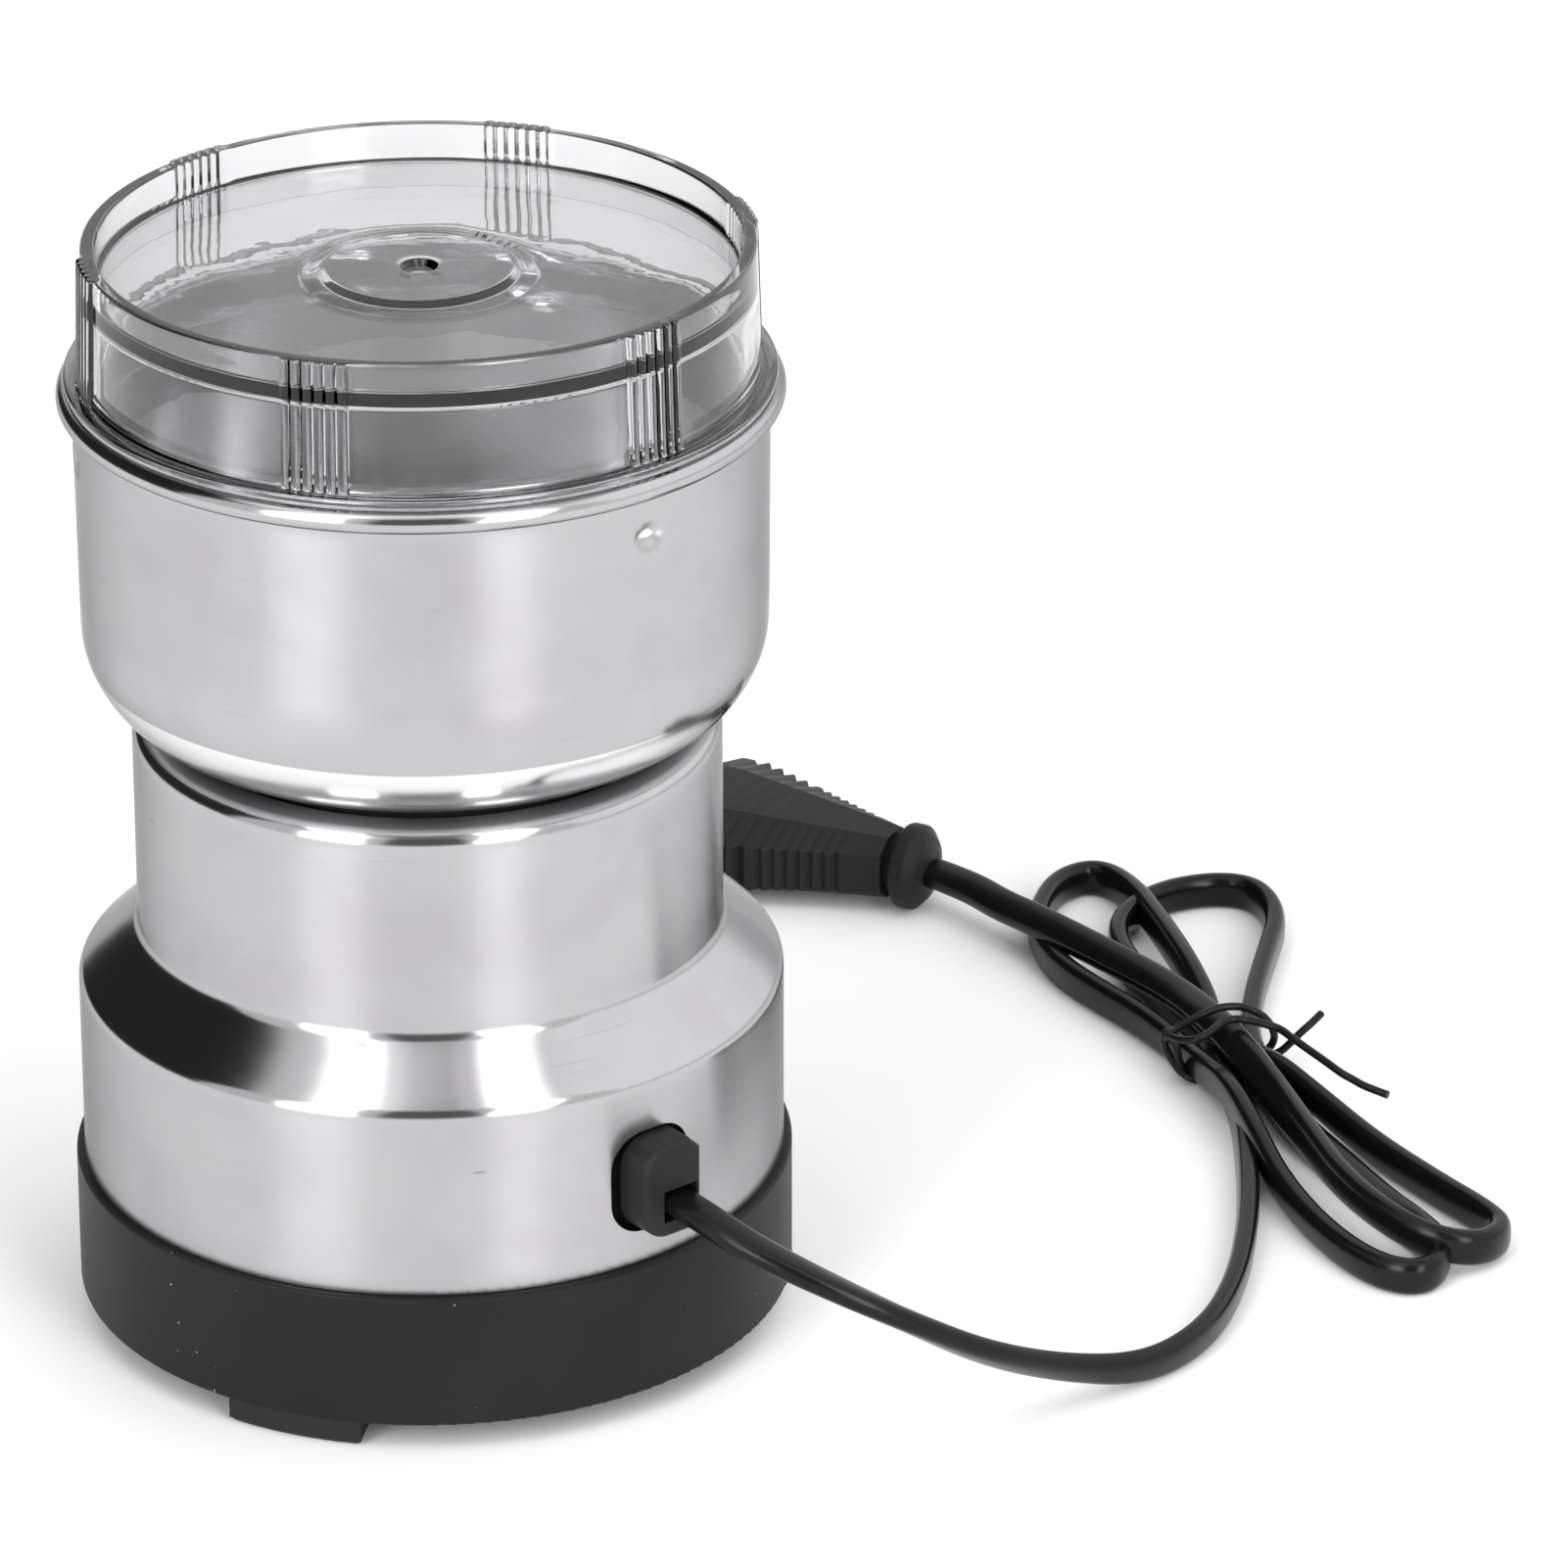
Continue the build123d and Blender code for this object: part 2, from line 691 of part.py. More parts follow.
armature_radius = bore_radius - air_gap
slot_count = 12
slot_radius = 2.2
slot_ring = armature_radius - 5.0
grip = shaft_radius + 0.02
with BuildPart() as armature_core:
    with BuildSketch(Plane.XY.offset(core_bottom)):
        Circle(armature_radius)
        Circle(grip, mode=Mode.SUBTRACT)
        with PolarLocations(slot_ring, slot_count):
            Circle(slot_radius, mode=Mode.SUBTRACT)
        with PolarLocations(armature_radius - 1.5, slot_count):
            Rectangle(5, 1.6, mode=Mode.SUBTRACT)
    extrude(amount=core_stack)
armature_core.part.label = "armature_core"
export_step(armature_core.part, "parts/armature_core.step")

end_turn = 5.4
with BuildPart() as armature_windings:
    with BuildSketch(Plane.XY.offset(core_bottom - end_turn)):
        with PolarLocations(slot_ring, slot_count):
            Circle(slot_radius - fit_gap)
    extrude(amount=core_stack + 2 * end_turn)
    for level in (core_bottom - end_turn - seat_gap, core_top + seat_gap):
        with BuildSketch(Plane.XY.offset(level)):
            Circle(slot_ring + slot_radius + 0.4)
            Circle(shaft_radius + 2, mode=Mode.SUBTRACT)
        extrude(amount=end_turn)
    fillet(armature_windings.edges().filter_by(GeomType.CIRCLE).group_by(Axis.Z)[-1], 1.6)
    fillet(armature_windings.edges().filter_by(GeomType.CIRCLE).group_by(Axis.Z)[0], 1.6)
armature_windings.part.label = "armature_windings"
export_step(armature_windings.part, "parts/armature_windings.step")

with BuildPart() as commutator:
    with BuildSketch(Plane.XY.offset(commutator_bottom)):
        Circle(commutator_radius)
        Circle(grip, mode=Mode.SUBTRACT)
        with PolarLocations(commutator_radius, slot_count):
            Rectangle(2.4, 0.6, mode=Mode.SUBTRACT)
    extrude(amount=commutator_length - 2)
    with BuildSketch(Plane.XY.offset(commutator_top - 2)):
        Circle(commutator_radius + 1.5)
        Circle(grip, mode=Mode.SUBTRACT)
        with PolarLocations(commutator_radius + 1.5, slot_count):
            Rectangle(2.4, 0.8, mode=Mode.SUBTRACT)
    extrude(amount=2)
commutator.part.label = "commutator"
export_step(commutator.part, "parts/commutator.step")

fan_bottom = core_top + end_turn + 0.6
fan_height = 5.4
with BuildPart() as cooling_fan:
    with BuildSketch(Plane.XY.offset(fan_bottom)):
        Circle(fan_radius)
    extrude(amount=1.2)
    with BuildSketch(Plane.XY.offset(fan_bottom)):
        Circle(5.5)
        with PolarLocations((fan_radius + 5) / 2, 8):
            Rectangle(fan_radius - 6, 1.2, rotation=14)
    extrude(amount=fan_height)
    with Locations((0, 0, fan_bottom)):
        Cylinder(grip, 2 * fan_height + 2, mode=Mode.SUBTRACT)
cooling_fan.part.label = "cooling_fan"
export_step(cooling_fan.part, "parts/cooling_fan.step")


def blade(height, reach, root_width, tip_width, rise_angle, turn):
    """A flat two-winged blade with its wings bent up by an angle, as a loose solid."""
    hub = Pos(0, 0, height) * extrude(Circle(6.5), blade_thickness)
    flat = 8.0
    body = hub + Pos(0, 0, height) * extrude(Rectangle(2 * flat, root_width), blade_thickness)
    for side in (0, 180):
        plane = Plane.XY.rotated((0, -rise_angle, 0))
        wing = make_face(Polyline(
            (0, -root_width / 2), (reach - flat, -tip_width / 2 - 1), (reach - flat, tip_width / 2 - 1),
            (0, root_width / 2), (0, -root_width / 2)))
        tilted = Pos(flat, 0, height) * (plane * extrude(wing, blade_thickness))
        body = body + Rot(0, 0, side) * tilted
    bore = Pos(0, 0, height - 1) * extrude(Circle(shaft_radius - 0.5 + seat_gap), blade_thickness + 2)
    return Rot(0, 0, turn) * (body - bore)


lower_blade_solid = blade(lower_blade_height, lower_blade_reach, 11, 7, 4, 20)
upper_blade_solid = blade(upper_blade_height, upper_blade_reach, 10, 6, 22, 110)
with BuildPart() as lower_blade:
    add(lower_blade_solid)
lower_blade.part.label = "lower_blade"
export_step(lower_blade.part, "parts/lower_blade.step")

with BuildPart() as upper_blade:
    add(upper_blade_solid)
upper_blade.part.label = "upper_blade"
export_step(upper_blade.part, "parts/upper_blade.step")

bush_flange_top = cup_bottom + cup_wall + 2.0
with BuildPart() as blade_spacers:
    with BuildSketch(Plane.XY.offset(bush_flange_top + slide_gap)):
        Circle(5.0)
        Circle(grip, mode=Mode.SUBTRACT)
    extrude(amount=lower_blade_height - bush_flange_top - slide_gap)
    with BuildSketch(Plane.XY.offset(lower_blade_height + blade_thickness)):
        Circle(5.0)
        Circle(shaft_radius - 0.48, mode=Mode.SUBTRACT)
    extrude(amount=blade_gap)
blade_spacers.part.label = "blade_spacers"
export_step(blade_spacers.part, "parts/blade_spacers.step")

with BuildPart() as blade_nut:
    with BuildSketch(Plane.XY.offset(upper_blade_height + blade_thickness)):
        RegularPolygon(4.4, 6)
    extrude(amount=3.2)
    with BuildSketch(Plane.XY.offset(upper_blade_height + blade_thickness)):
        Circle(3.6)
    extrude(amount=5.2)
    fillet(blade_nut.edges().group_by(Axis.Z)[-1], 1.8)
    with BuildSketch(Plane.XY.offset(upper_blade_height + blade_thickness)):
        Circle(shaft_radius - 0.48)
    extrude(amount=3.7, mode=Mode.SUBTRACT)
blade_nut.part.label = "blade_nut"
export_step(blade_nut.part, "parts/blade_nut.step")

# ---------------------------------------------------------------- cup
bush_radius = 5.0
bush_bottom = carrier_bottom - 4.5
dimple_centres = [spot(cup_radius_high + dimple_ball - dimple_depth, b, dimple_height)
                  for b in dimple_bearings]
cup_core = Pos(0, 0, dimple_height) * Cylinder(cup_radius_high - cup_wall / 2, 20)
dimple_bumps = [(Pos(*c) * Sphere(dimple_ball + cup_wall)) & cup_core for c in dimple_centres]
cup_slope = (cup_radius_high - cup_radius_low) / (bead_height - cup_bottom)

with BuildPart() as bowl_shell:
    with BuildSketch(Plane.XZ):
        with BuildLine():
            FilletPolyline(
                (bush_radius + seat_gap, cup_bottom),
                (cup_radius_low, cup_bottom),
                (cup_radius_high, bead_height),
                radius=cup_corner_radius,
            )
            offset(amount=cup_wall, side=Side.LEFT)
        make_face()
    revolve(axis=Axis.Z)
    with BuildSketch(Plane.XZ):
        with Locations((bead_radius, bead_height)):
            Circle(bead_wire_radius)
    revolve(axis=Axis.Z)
    add(dimple_bumps)
    with Locations(*dimple_centres):
        Sphere(dimple_ball, mode=Mode.SUBTRACT)
bowl_shell.part.label = "bowl_shell"
export_step(bowl_shell.part, "parts/bowl_shell.step")

stop_top = deck_underside - 0.25
stop_thickness = 1.2
with BuildPart() as bowl_carrier:
    with BuildSketch(Plane.XY.offset(carrier_bottom)):
        Circle(carrier_radius)
        Circle(bush_radius + fit_gap, mode=Mode.SUBTRACT)
    extrude(amount=carrier_thickness)
    fillet(bowl_carrier.edges().filter_by(GeomType.CIRCLE).group_by(Axis.Z)[0].sort_by(SortBy.RADIUS)[-1], 1)
    with BuildSketch(Plane.XY.offset(stop_top)):
        with Locations(*[spot(post_pitch_radius, b) for b in post_bearings]):
            Circle(post_radius)
    extrude(amount=carrier_bottom - stop_top)
    with BuildSketch(Plane.XY.offset(finger_bottom)):
        with Locations((0, switch_y)):
            Circle(post_radius - 0.3)
    extrude(amount=carrier_bottom - finger_bottom)
    with BuildSketch(Plane.XY.offset(stop_top)):
        with Locations(*[spot(post_pitch_radius, b) for b in post_bearings]):
            Circle(stop_screw_shank + seat_gap)
    extrude(amount=stop_screw_length, mode=Mode.SUBTRACT)
bowl_carrier.part.label = "bowl_carrier"
export_step(bowl_carrier.part, "parts/bowl_carrier.step")

with BuildPart() as stop_washers:
    with BuildSketch(Plane.XY.offset(stop_top - stop_thickness)):
        with Locations(*[spot(post_pitch_radius, b) for b in post_bearings]):
            Circle(4.2)
            Circle(stop_screw_shank + fit_gap, mode=Mode.SUBTRACT)
    extrude(amount=stop_thickness)
stop_washers.part.label = "stop_washers"
export_step(stop_washers.part, "parts/stop_washers.step")

with BuildPart() as stop_screws:
    with BuildSketch(Plane.XY.offset(stop_top - stop_thickness - 1.8)):
        with Locations(*[spot(post_pitch_radius, b) for b in post_bearings]):
            Circle(2.4)
    extrude(amount=1.8)
    with BuildSketch(Plane.XY.offset(stop_top - stop_thickness)):
        with Locations(*[spot(post_pitch_radius, b) for b in post_bearings]):
            Circle(stop_screw_shank)
    extrude(amount=stop_screw_length)
stop_screws.part.label = "stop_screws"
export_step(stop_screws.part, "parts/stop_screws.step")

with BuildPart() as bowl_bush:
    with BuildSketch(Plane.XZ):
        with BuildLine():
            Polyline(
                (shaft_radius + seat_gap, bush_bottom),
                (bush_radius, bush_bottom),
                (bush_radius, cup_bottom + cup_wall),
                (9.0, cup_bottom + cup_wall),
                (9.0, bush_flange_top - 0.8),
                (8.2, bush_flange_top),
                (5.6, bush_flange_top),
                (5.6, bush_flange_top - 1.4),
                (shaft_radius + seat_gap, bush_flange_top - 1.4),
                close=True,
            )
        make_face()
    revolve(axis=Axis.Z)
bowl_bush.part.label = "bowl_bush"
export_step(bowl_bush.part, "parts/bowl_bush.step")

with BuildPart() as shaft_seal:
    with BuildSketch(Plane.XY.offset(bush_flange_top - 1.4)):
        Circle(5.5)
        Circle(shaft_radius + running, mode=Mode.SUBTRACT)
    extrude(amount=1.3)
shaft_seal.part.label = "shaft_seal"
export_step(shaft_seal.part, "parts/shaft_seal.step")

with BuildPart() as bush_nut:
    with BuildSketch(Plane.XY.offset(carrier_bottom - 3.5)):
        RegularPolygon(8.0, 6)
        Circle(bush_radius + seat_gap, mode=Mode.SUBTRACT)
    extrude(amount=3.5)
bush_nut.part.label = "bush_nut"
export_step(bush_nut.part, "parts/bush_nut.step")

# ---------------------------------------------------------------- lid
lid_draft = (lid_radius_bottom - lid_radius_top) / (lid_top - lid_seat - lid_flange_thickness)
spigot_outer = cup_radius_high - cup_wall - 0.6
spigot_inner = spigot_outer - lid_wall
with BuildPart() as lid:
    with BuildSketch(Plane.XZ):
        with BuildLine():
            Polyline(
                (0, lid_floor_top - lid_floor_thickness + dome_rise),
                (0, lid_floor_top + dome_rise - 0.5),
                (gate_radius - 0.6, lid_floor_top + dome_rise - 0.5),
                (gate_radius, lid_floor_top + dome_rise),
                (dome_radius - 2.4, lid_floor_top + dome_rise),
                (dome_radius, lid_floor_top),
                (lid_radius_top - lid_wall, lid_floor_top),
                (lid_radius_top - lid_wall, lid_top),
                (lid_radius_top, lid_top),
                (lid_radius_bottom, lid_seat + lid_flange_thickness),
                (lid_flange_radius, lid_seat + lid_flange_thickness),
                (lid_flange_radius, lid_seat),
                (spigot_outer, lid_seat),
                (spigot_outer, lid_spigot_bottom),
                (spigot_inner, lid_spigot_bottom),
                (lid_radius_top - lid_wall, lid_floor_top - lid_floor_thickness),
                (dome_radius, lid_floor_top - lid_floor_thickness),
                (dome_radius - 2.4, lid_floor_top - lid_floor_thickness + dome_rise),
                close=True,
            )
        make_face()
    revolve(axis=Axis.Z)
    rims = lid.edges().filter_by(GeomType.CIRCLE)
    fillet(rims.group_by(Axis.Z)[-1], 0.5)
    # grip ribs, following the draft of the wall
    for group in range(grip_groups):
        for rib in range(ribs_per_grip):
            step = math.degrees(rib_pitch / lid_radius_bottom)
            bearing = grip_first_bearing + 360 * group / grip_groups + (rib - 2.5) * step
            foot = spot(lid_radius_bottom - 0.1, bearing, lid_seat + lid_flange_thickness / 2)
            lean = spot(-lid_draft, bearing, 1)
            with BuildSketch(Plane(origin=foot, z_dir=lean)):
                Circle(rib_radius)
            extrude(amount=lid_top - foot.Z - 0.1)
lid.part.label = "lid"
export_step(lid.part, "parts/lid.step")

# ---------------------------------------------------------------- gland and lead
shell_bore = drum_radius - steel_wall
flange_half = 8.4
flange_out = math.sqrt((shell_bore - seat_gap) ** 2 - flange_half**2)
flange_thickness = 1.6
cord_seat = gland_face - slot_depth
gland_plane = facing(gland_bearing, 0, gland_height)

with BuildPart() as cord_gland:
    with BuildSketch(gland_plane.offset(gland_inside)):
        RectangleRounded(12, 12, 2)
    extrude(amount=flange_out - flange_thickness - gland_inside)
    with BuildSketch(gland_plane.offset(flange_out - flange_thickness)):
        RectangleRounded(2 * flange_half, gland_hole_height + 2.4, 3)
    extrude(amount=flange_thickness)
    with BuildSketch(gland_plane.offset(flange_out)) as nose:
        Rectangle(gland_width, gland_tall)
        fillet(nose.vertices().group_by(Axis.X)[0], 4.4)
        chamfer(nose.vertices().group_by(Axis.X)[-1], 2.0)
    extrude(amount=gland_face - flange_out)
    outward = Axis((0, 0, 0), tuple(gland_plane.z_dir))
    fillet(cord_gland.faces().sort_by(outward)[-1].edges(), 0.8)
    with BuildSketch(gland_plane.offset(cord_seat)):
        with Locations((slot_shift, -slot_drop)):
            Rectangle(slot_width, slot_tall)
    extrude(amount=slot_depth + 1, mode=Mode.SUBTRACT)
cord_gland.part.label = "cord_gland"
export_step(cord_gland.part, "parts/cord_gland.step")

lead_start = gland_plane.from_local_coords((slot_shift, -slot_drop, cord_seat))
lead_turn = gland_plane.from_local_coords((slot_shift, -slot_drop, cord_seat + 8))
lead_end = (121.4, 26.5, 2.3)
lead_points = [
    tuple(lead_start),
    tuple(lead_turn),
    (46.5, -52.3, 32.6),
    (56.5, -55.0, 28.2),
    (68.0, -53.5, 22.2),
    (80.0, -47.0, 13.4),
    (91.5, -38.5, 6.1),
    (104.0, -32.0, 2.3),
    (113.5, -22.0, 2.3),
    (118.0, -7.0, 2.3),
    (121.4, 10.0, 2.3),
    lead_end,
]

plug_turn = math.radians(plug_heading)
plug_frame = Plane(origin=(plug_x, plug_y, plug_height),
                   x_dir=(math.cos(plug_turn), math.sin(plug_turn), 0), z_dir=(0, 0, 1))
plug_tail = -3.5
tail_drop = 0.4
tail_start = (88.1, 113.9, plug_height - tail_drop)
tail_turn = plug_frame.from_local_coords((plug_tail - 9, 0, -tail_drop))
tail_end = plug_frame.from_local_coords((plug_tail, 0, -tail_drop))
tail_points = [tail_start, tuple(tail_turn), tuple(tail_end)]


def tube(points, radius, share=0.45):
    """A round lead along straight runs and tangent arcs, as a loose solid."""
    radii = corner_radii(points, share)
    path = FilletPolyline(*points, radius=radii)
    face = Plane(origin=path @ 0, z_dir=path % 0) * Circle(radius)
    solid = sweep(face, path=path, mode=Mode.PRIVATE)
    print("tube radii", [round(r, 1) for r in radii], "length", round(path.length, 1),
          "volume ratio", round(solid.volume / (math.pi * radius**2 * path.length), 4))
    return solid


lead_solid = tube(lead_points, cord_radius)
with BuildPart() as cord_lead:
    add(lead_solid)
cord_lead.part.label = "cord_lead"
export_step(cord_lead.part, "parts/cord_lead.step")

tail_solid = tube(tail_points, cord_radius)
with BuildPart() as cord_tail:
    add(tail_solid)
cord_tail.part.label = "cord_tail"
export_step(cord_tail.part, "parts/cord_tail.step")

# wires inside the housing, from the gland to the switch and to a brush holder
wire_radius = 0.9
wire_inside = gland_inside - seat_gap
stator_back = stator_depth / 2
switch_wire_points = [
    tuple(gland_plane.from_local_coords((1.2, 2.0, wire_inside))),
    tuple(gland_plane.from_local_coords((1.2, 2.0, wire_inside - 3.5))),
    (31.5, -21.5, 41.0),
    (36.4, -6.0, 44.0),
    (36.0, 10.0, 48.0),
    (24.8, stator_back + 1.0, 52.0),
    (12.0, stator_back + 3.5, 54.0),
    (switch_tab_x, stator_back + 2.0, 56.5),
    (switch_tab_x, switch_y, switch_bottom - tab_height - seat_gap),
]
brush_wire_points = [
    tuple(gland_plane.from_local_coords((-1.8, -2.0, wire_inside))),
    tuple(gland_plane.from_local_coords((-1.8, -2.0, wire_inside - 3.5))),
    (15.5, -stator_back - 8.0, 31.0),
    (8.0, -stator_back - 9.5, 27.5),
    (0.0, -stator_back - 9.0, brush_height),
    (0.0, -holder_back - seat_gap, brush_height),
]
internal_wire_solids = [tube(switch_wire_points, wire_radius), tube(brush_wire_points, wire_radius)]
with BuildPart() as internal_wires:
    add(internal_wire_solids)
internal_wires.part.label = "internal_wires"
export_step(internal_wires.part, "parts/internal_wires.step")

# ---------------------------------------------------------------- hank, tie and plug
hank_height = 5.6
strand = 4.6
waist = (118.5, 67.0)
waist_heading = 113.5
waist_length = 17.0
waist_width = 18.0
waist_top = 9.0
tie_wire = 0.65
tie_bend = 3.0
tie_room = 4.0
# each loop is a belt round circles, from its far end to the waist
loops = [
    [((101.0, 125.8), 12.0), ((103.6, 104.0), 13.0), ((107.0, 94.0), 12.0), ((113.0, 82.0), 9.6),
     ((117.0, 74.0), 7.5)],
    [((119.0, 120.5), 14.6), ((117.6, 105.0), 13.4), ((118.4, 92.0), 10.2), ((118.8, 84.0), 8.1),
     ((120.0, 73.0), 6.5)],
    [((143.4, 1.6), 8.1), ((137.0, 15.0), 9.0), ((130.4, 30.0), 7.4), ((125.5, 45.0), 6.4),
     ((121.0, 61.0), 6.0)],
    [((153.4, 10.0), 8.0), ((146.6, 23.6), 8.6), ((139.6, 35.7), 8.3), ((133.0, 49.5), 7.0),
     ((124.5, 63.0), 5.8)],
]


def belt(circles, shrink):
    """The area inside belts round each pair of neighbouring circles, as a loose sketch."""
    area = Sketch()
    for (here, first), (there, second) in zip(circles, circles[1:]):
        rims = [Edge.make_circle(first - shrink, Plane((*here, 0))),
                Edge.make_circle(second - shrink, Plane((*there, 0)))]
        area += make_hull(rims)
    return area


def bar(start, end, width):
    """A straight strip on the floor plan between two points, as a loose sketch."""
    run = Vector(*end) - Vector(*start)
    angle = math.degrees(math.atan2(run.Y, run.X))
    middle = (Vector(*start) + Vector(*end)) * 0.5
    return Pos(middle.X, middle.Y) * Rot(0, 0, angle) * Rectangle(run.length, width)


rings = Sketch() + [belt(circles, 0) - belt(circles, strand) for circles in loops]
waist_plane = Plane(origin=(*waist, 0)).rotated((0, 0, waist_heading))
waist_area = waist_plane * RectangleRounded(waist_length, waist_width, 3)
lead_bar = bar(lead_end[:2], (121.4, 62.0), strand)
tail_run = (Vector(*tail_turn) - Vector(*tail_start)).normalized()
tail_root = Vector(*tail_start) - tail_run * 52
tail_bar = bar((tail_root.X, tail_root.Y), tail_start[:2], strand)

tie_half = waist_width / 2 + tie_wire + fit_gap
tie_low = tie_wire + seat_gap
tie_high = waist_top + tie_wire + seat_gap
tie_plane = Plane(origin=waist_plane.origin, x_dir=waist_plane.y_dir, z_dir=waist_plane.x_dir)
tie_middle = (tie_low + tie_high) / 2
tie_gap = 2 * (tie_wire + seat_gap)

with BuildPart() as cord_hank:
    with BuildSketch():
        add(rings)
        add(lead_bar)
    extrude(amount=hank_height)
    with BuildSketch():
        add(waist_area)
    extrude(amount=waist_top)
    with BuildSketch(Plane.XY.offset(tail_start[2] - strand / 2)):
        add(tail_bar)
    extrude(amount=strand)
    with BuildSketch(tie_plane.offset(-tie_room / 2)):
        Rectangle(4 * waist_width, 4 * waist_top)
        with Locations((0, tie_middle)):
            RectangleRounded(2 * tie_half - tie_gap, tie_high - tie_low - tie_gap,
                             tie_bend - tie_gap / 2, mode=Mode.SUBTRACT)
    extrude(amount=tie_room, mode=Mode.SUBTRACT)
cord_hank.part.label = "cord_hank"
export_step(cord_hank.part, "parts/cord_hank.step")


def tie_turn(shift):
    """One turn of the tie round the waist of the hank."""
    outline = Pos(0, tie_middle) * RectangleRounded(2 * tie_half, tie_high - tie_low, tie_bend)
    path = (tie_plane.offset(shift) * outline).wire()
    face = Plane(origin=path @ 0, z_dir=path % 0) * Circle(tie_wire)
    return sweep(face, path=path, mode=Mode.PRIVATE)


tie_solids = [tie_turn(-0.6), tie_turn(0.6)]
tie_tail_solids = [
    tube([(116.0, 69.0, tie_high + 0.6), (131.0, 59.2, tie_high + 0.6), (138.0, 54.0, 8.4),
          (143.8, 49.9, 6.0)], tie_wire),
    tube([(117.0, 66.0, tie_high + 0.6), (127.0, 71.5, tie_high), (135.1, 77.8, 7.0)], tie_wire),
]
with BuildPart() as cord_tie:
    add(tie_solids)
    add(tie_tail_solids)
cord_tie.part.label = "cord_tie"
export_step(cord_tie.part, "parts/cord_tie.step")

plug_axis = Axis(tuple(plug_frame.origin), tuple(plug_frame.x_dir))
pin_bed = 8.0
pin_shank = 1.6


def plug_section(along):
    """The plane across the plug at a distance along it, with X across and Y up."""
    centre = plug_frame.from_local_coords((along, 0, 0))
    return Plane(origin=centre, x_dir=plug_frame.y_dir, z_dir=plug_frame.x_dir)


def plug_octagon(flat, widest, high, shoulder):
    """Corner points of the plug's eight-sided section."""
    return [(flat, high), (widest, shoulder), (widest, -shoulder), (flat, -high),
            (-flat, -high), (-widest, -shoulder), (-widest, shoulder), (-flat, high)]


plug_back = 34.0
with BuildPart() as plug_body:
    with BuildSketch(plug_section(3.0)):
        Polygon(*plug_octagon(2.4, 5.5, 5.3, 3.2), align=None)
    with BuildSketch(plug_section(plug_back)):
        Polygon(*plug_octagon(7.5, plug_width / 2, plug_thickness / 2, 3.9), align=None)
    loft()
    with BuildSketch(plug_section(plug_back)):
        Polygon(*plug_octagon(7.5, plug_width / 2, plug_thickness / 2, 3.9), align=None)
    extrude(amount=plug_length - plug_back)
    with BuildSketch(plug_frame):
        with BuildLine():
            Polyline((plug_tail, 0), (plug_tail, 3.6), (-2.4, 6.4), (-1.4, 7.0), (0.9, 7.0),
                     (1.9, 6.2), (2.0, 4.6), (3.2, 4.6), (3.2, 0), close=True)
        make_face()
    revolve(axis=plug_axis)
    with BuildSketch(plug_section(plug_length - pin_bed)):
        with Locations((-pin_spacing / 2, 0), (pin_spacing / 2, 0)):
            Circle(pin_shank + seat_gap)
    extrude(amount=pin_bed, mode=Mode.SUBTRACT)
plug_body.part.label = "plug_body"
export_step(plug_body.part, "parts/plug_body.step")

with BuildPart() as plug_pins:
    with BuildSketch(plug_section(plug_length - pin_bed)):
        with Locations((-pin_spacing / 2, 0), (pin_spacing / 2, 0)):
            Circle(pin_shank)
    extrude(amount=pin_bed)
    with BuildSketch(plug_section(plug_length)):
        with Locations((-pin_spacing / 2, 0), (pin_spacing / 2, 0)):
            Circle(pin_radius)
    extrude(amount=pin_length)
    tips = plug_pins.edges().filter_by(GeomType.CIRCLE).sort_by(plug_axis)[-2:]
    fillet(tips, 1.2)
plug_pins.part.label = "plug_pins"
export_step(plug_pins.part, "parts/plug_pins.step")
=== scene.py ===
# Electric spice grinder: brushed steel body and cup, clear lid, tied mains lead.
# Shapes are written in millimetres and turned into metres when a mesh is made.
import json
import math

import bmesh
import bpy
from mathutils import Matrix, Vector, noise


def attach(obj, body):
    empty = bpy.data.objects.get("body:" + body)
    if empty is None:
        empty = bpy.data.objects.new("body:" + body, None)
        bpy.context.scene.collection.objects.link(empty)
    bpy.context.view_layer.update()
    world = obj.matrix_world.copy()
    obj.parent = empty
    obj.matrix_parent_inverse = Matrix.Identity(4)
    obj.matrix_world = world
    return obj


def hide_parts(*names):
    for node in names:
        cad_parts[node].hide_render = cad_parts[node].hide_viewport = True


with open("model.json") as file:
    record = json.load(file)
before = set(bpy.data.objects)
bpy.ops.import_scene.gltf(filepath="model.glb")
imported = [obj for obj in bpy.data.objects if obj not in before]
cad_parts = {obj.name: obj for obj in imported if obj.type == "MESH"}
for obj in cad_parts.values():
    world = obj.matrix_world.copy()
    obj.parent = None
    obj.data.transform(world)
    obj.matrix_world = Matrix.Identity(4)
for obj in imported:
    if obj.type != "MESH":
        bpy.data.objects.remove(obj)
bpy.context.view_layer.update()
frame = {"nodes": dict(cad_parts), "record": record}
nodes = frame["nodes"]
mm = 0.001
print("solids loaded:", len(nodes))


# camera: a long lens in front, a little above
camera = {
    "place": (0.051318, -1.185174, 0.626430),
    "tiltDown": 24.7201,
    "lens": 207.47,
    "sensor": 36.0,
}

view = bpy.data.objects.new("camera", bpy.data.cameras.new("camera"))
view.data.sensor_width = camera["sensor"]
view.data.lens = camera["lens"]
view.location = camera["place"]
view.rotation_euler = (math.radians(90 - camera["tiltDown"]), 0, 0)
bpy.context.scene.collection.objects.link(view)
bpy.context.scene.camera = view
bpy.context.scene.view_settings.view_transform = "Standard"
print("camera placed")


def addNode(tree, kind, inputs=None, **settings):
    made = tree.nodes.new("ShaderNode" + kind)
    for key, value in settings.items():
        setattr(made, key, value)
    for key, value in (inputs or {}).items():
        socket = made.inputs[key]
        if isinstance(value, bpy.types.NodeSocket):
            tree.links.new(value, socket)
        else:
            socket.default_value = value
    return made


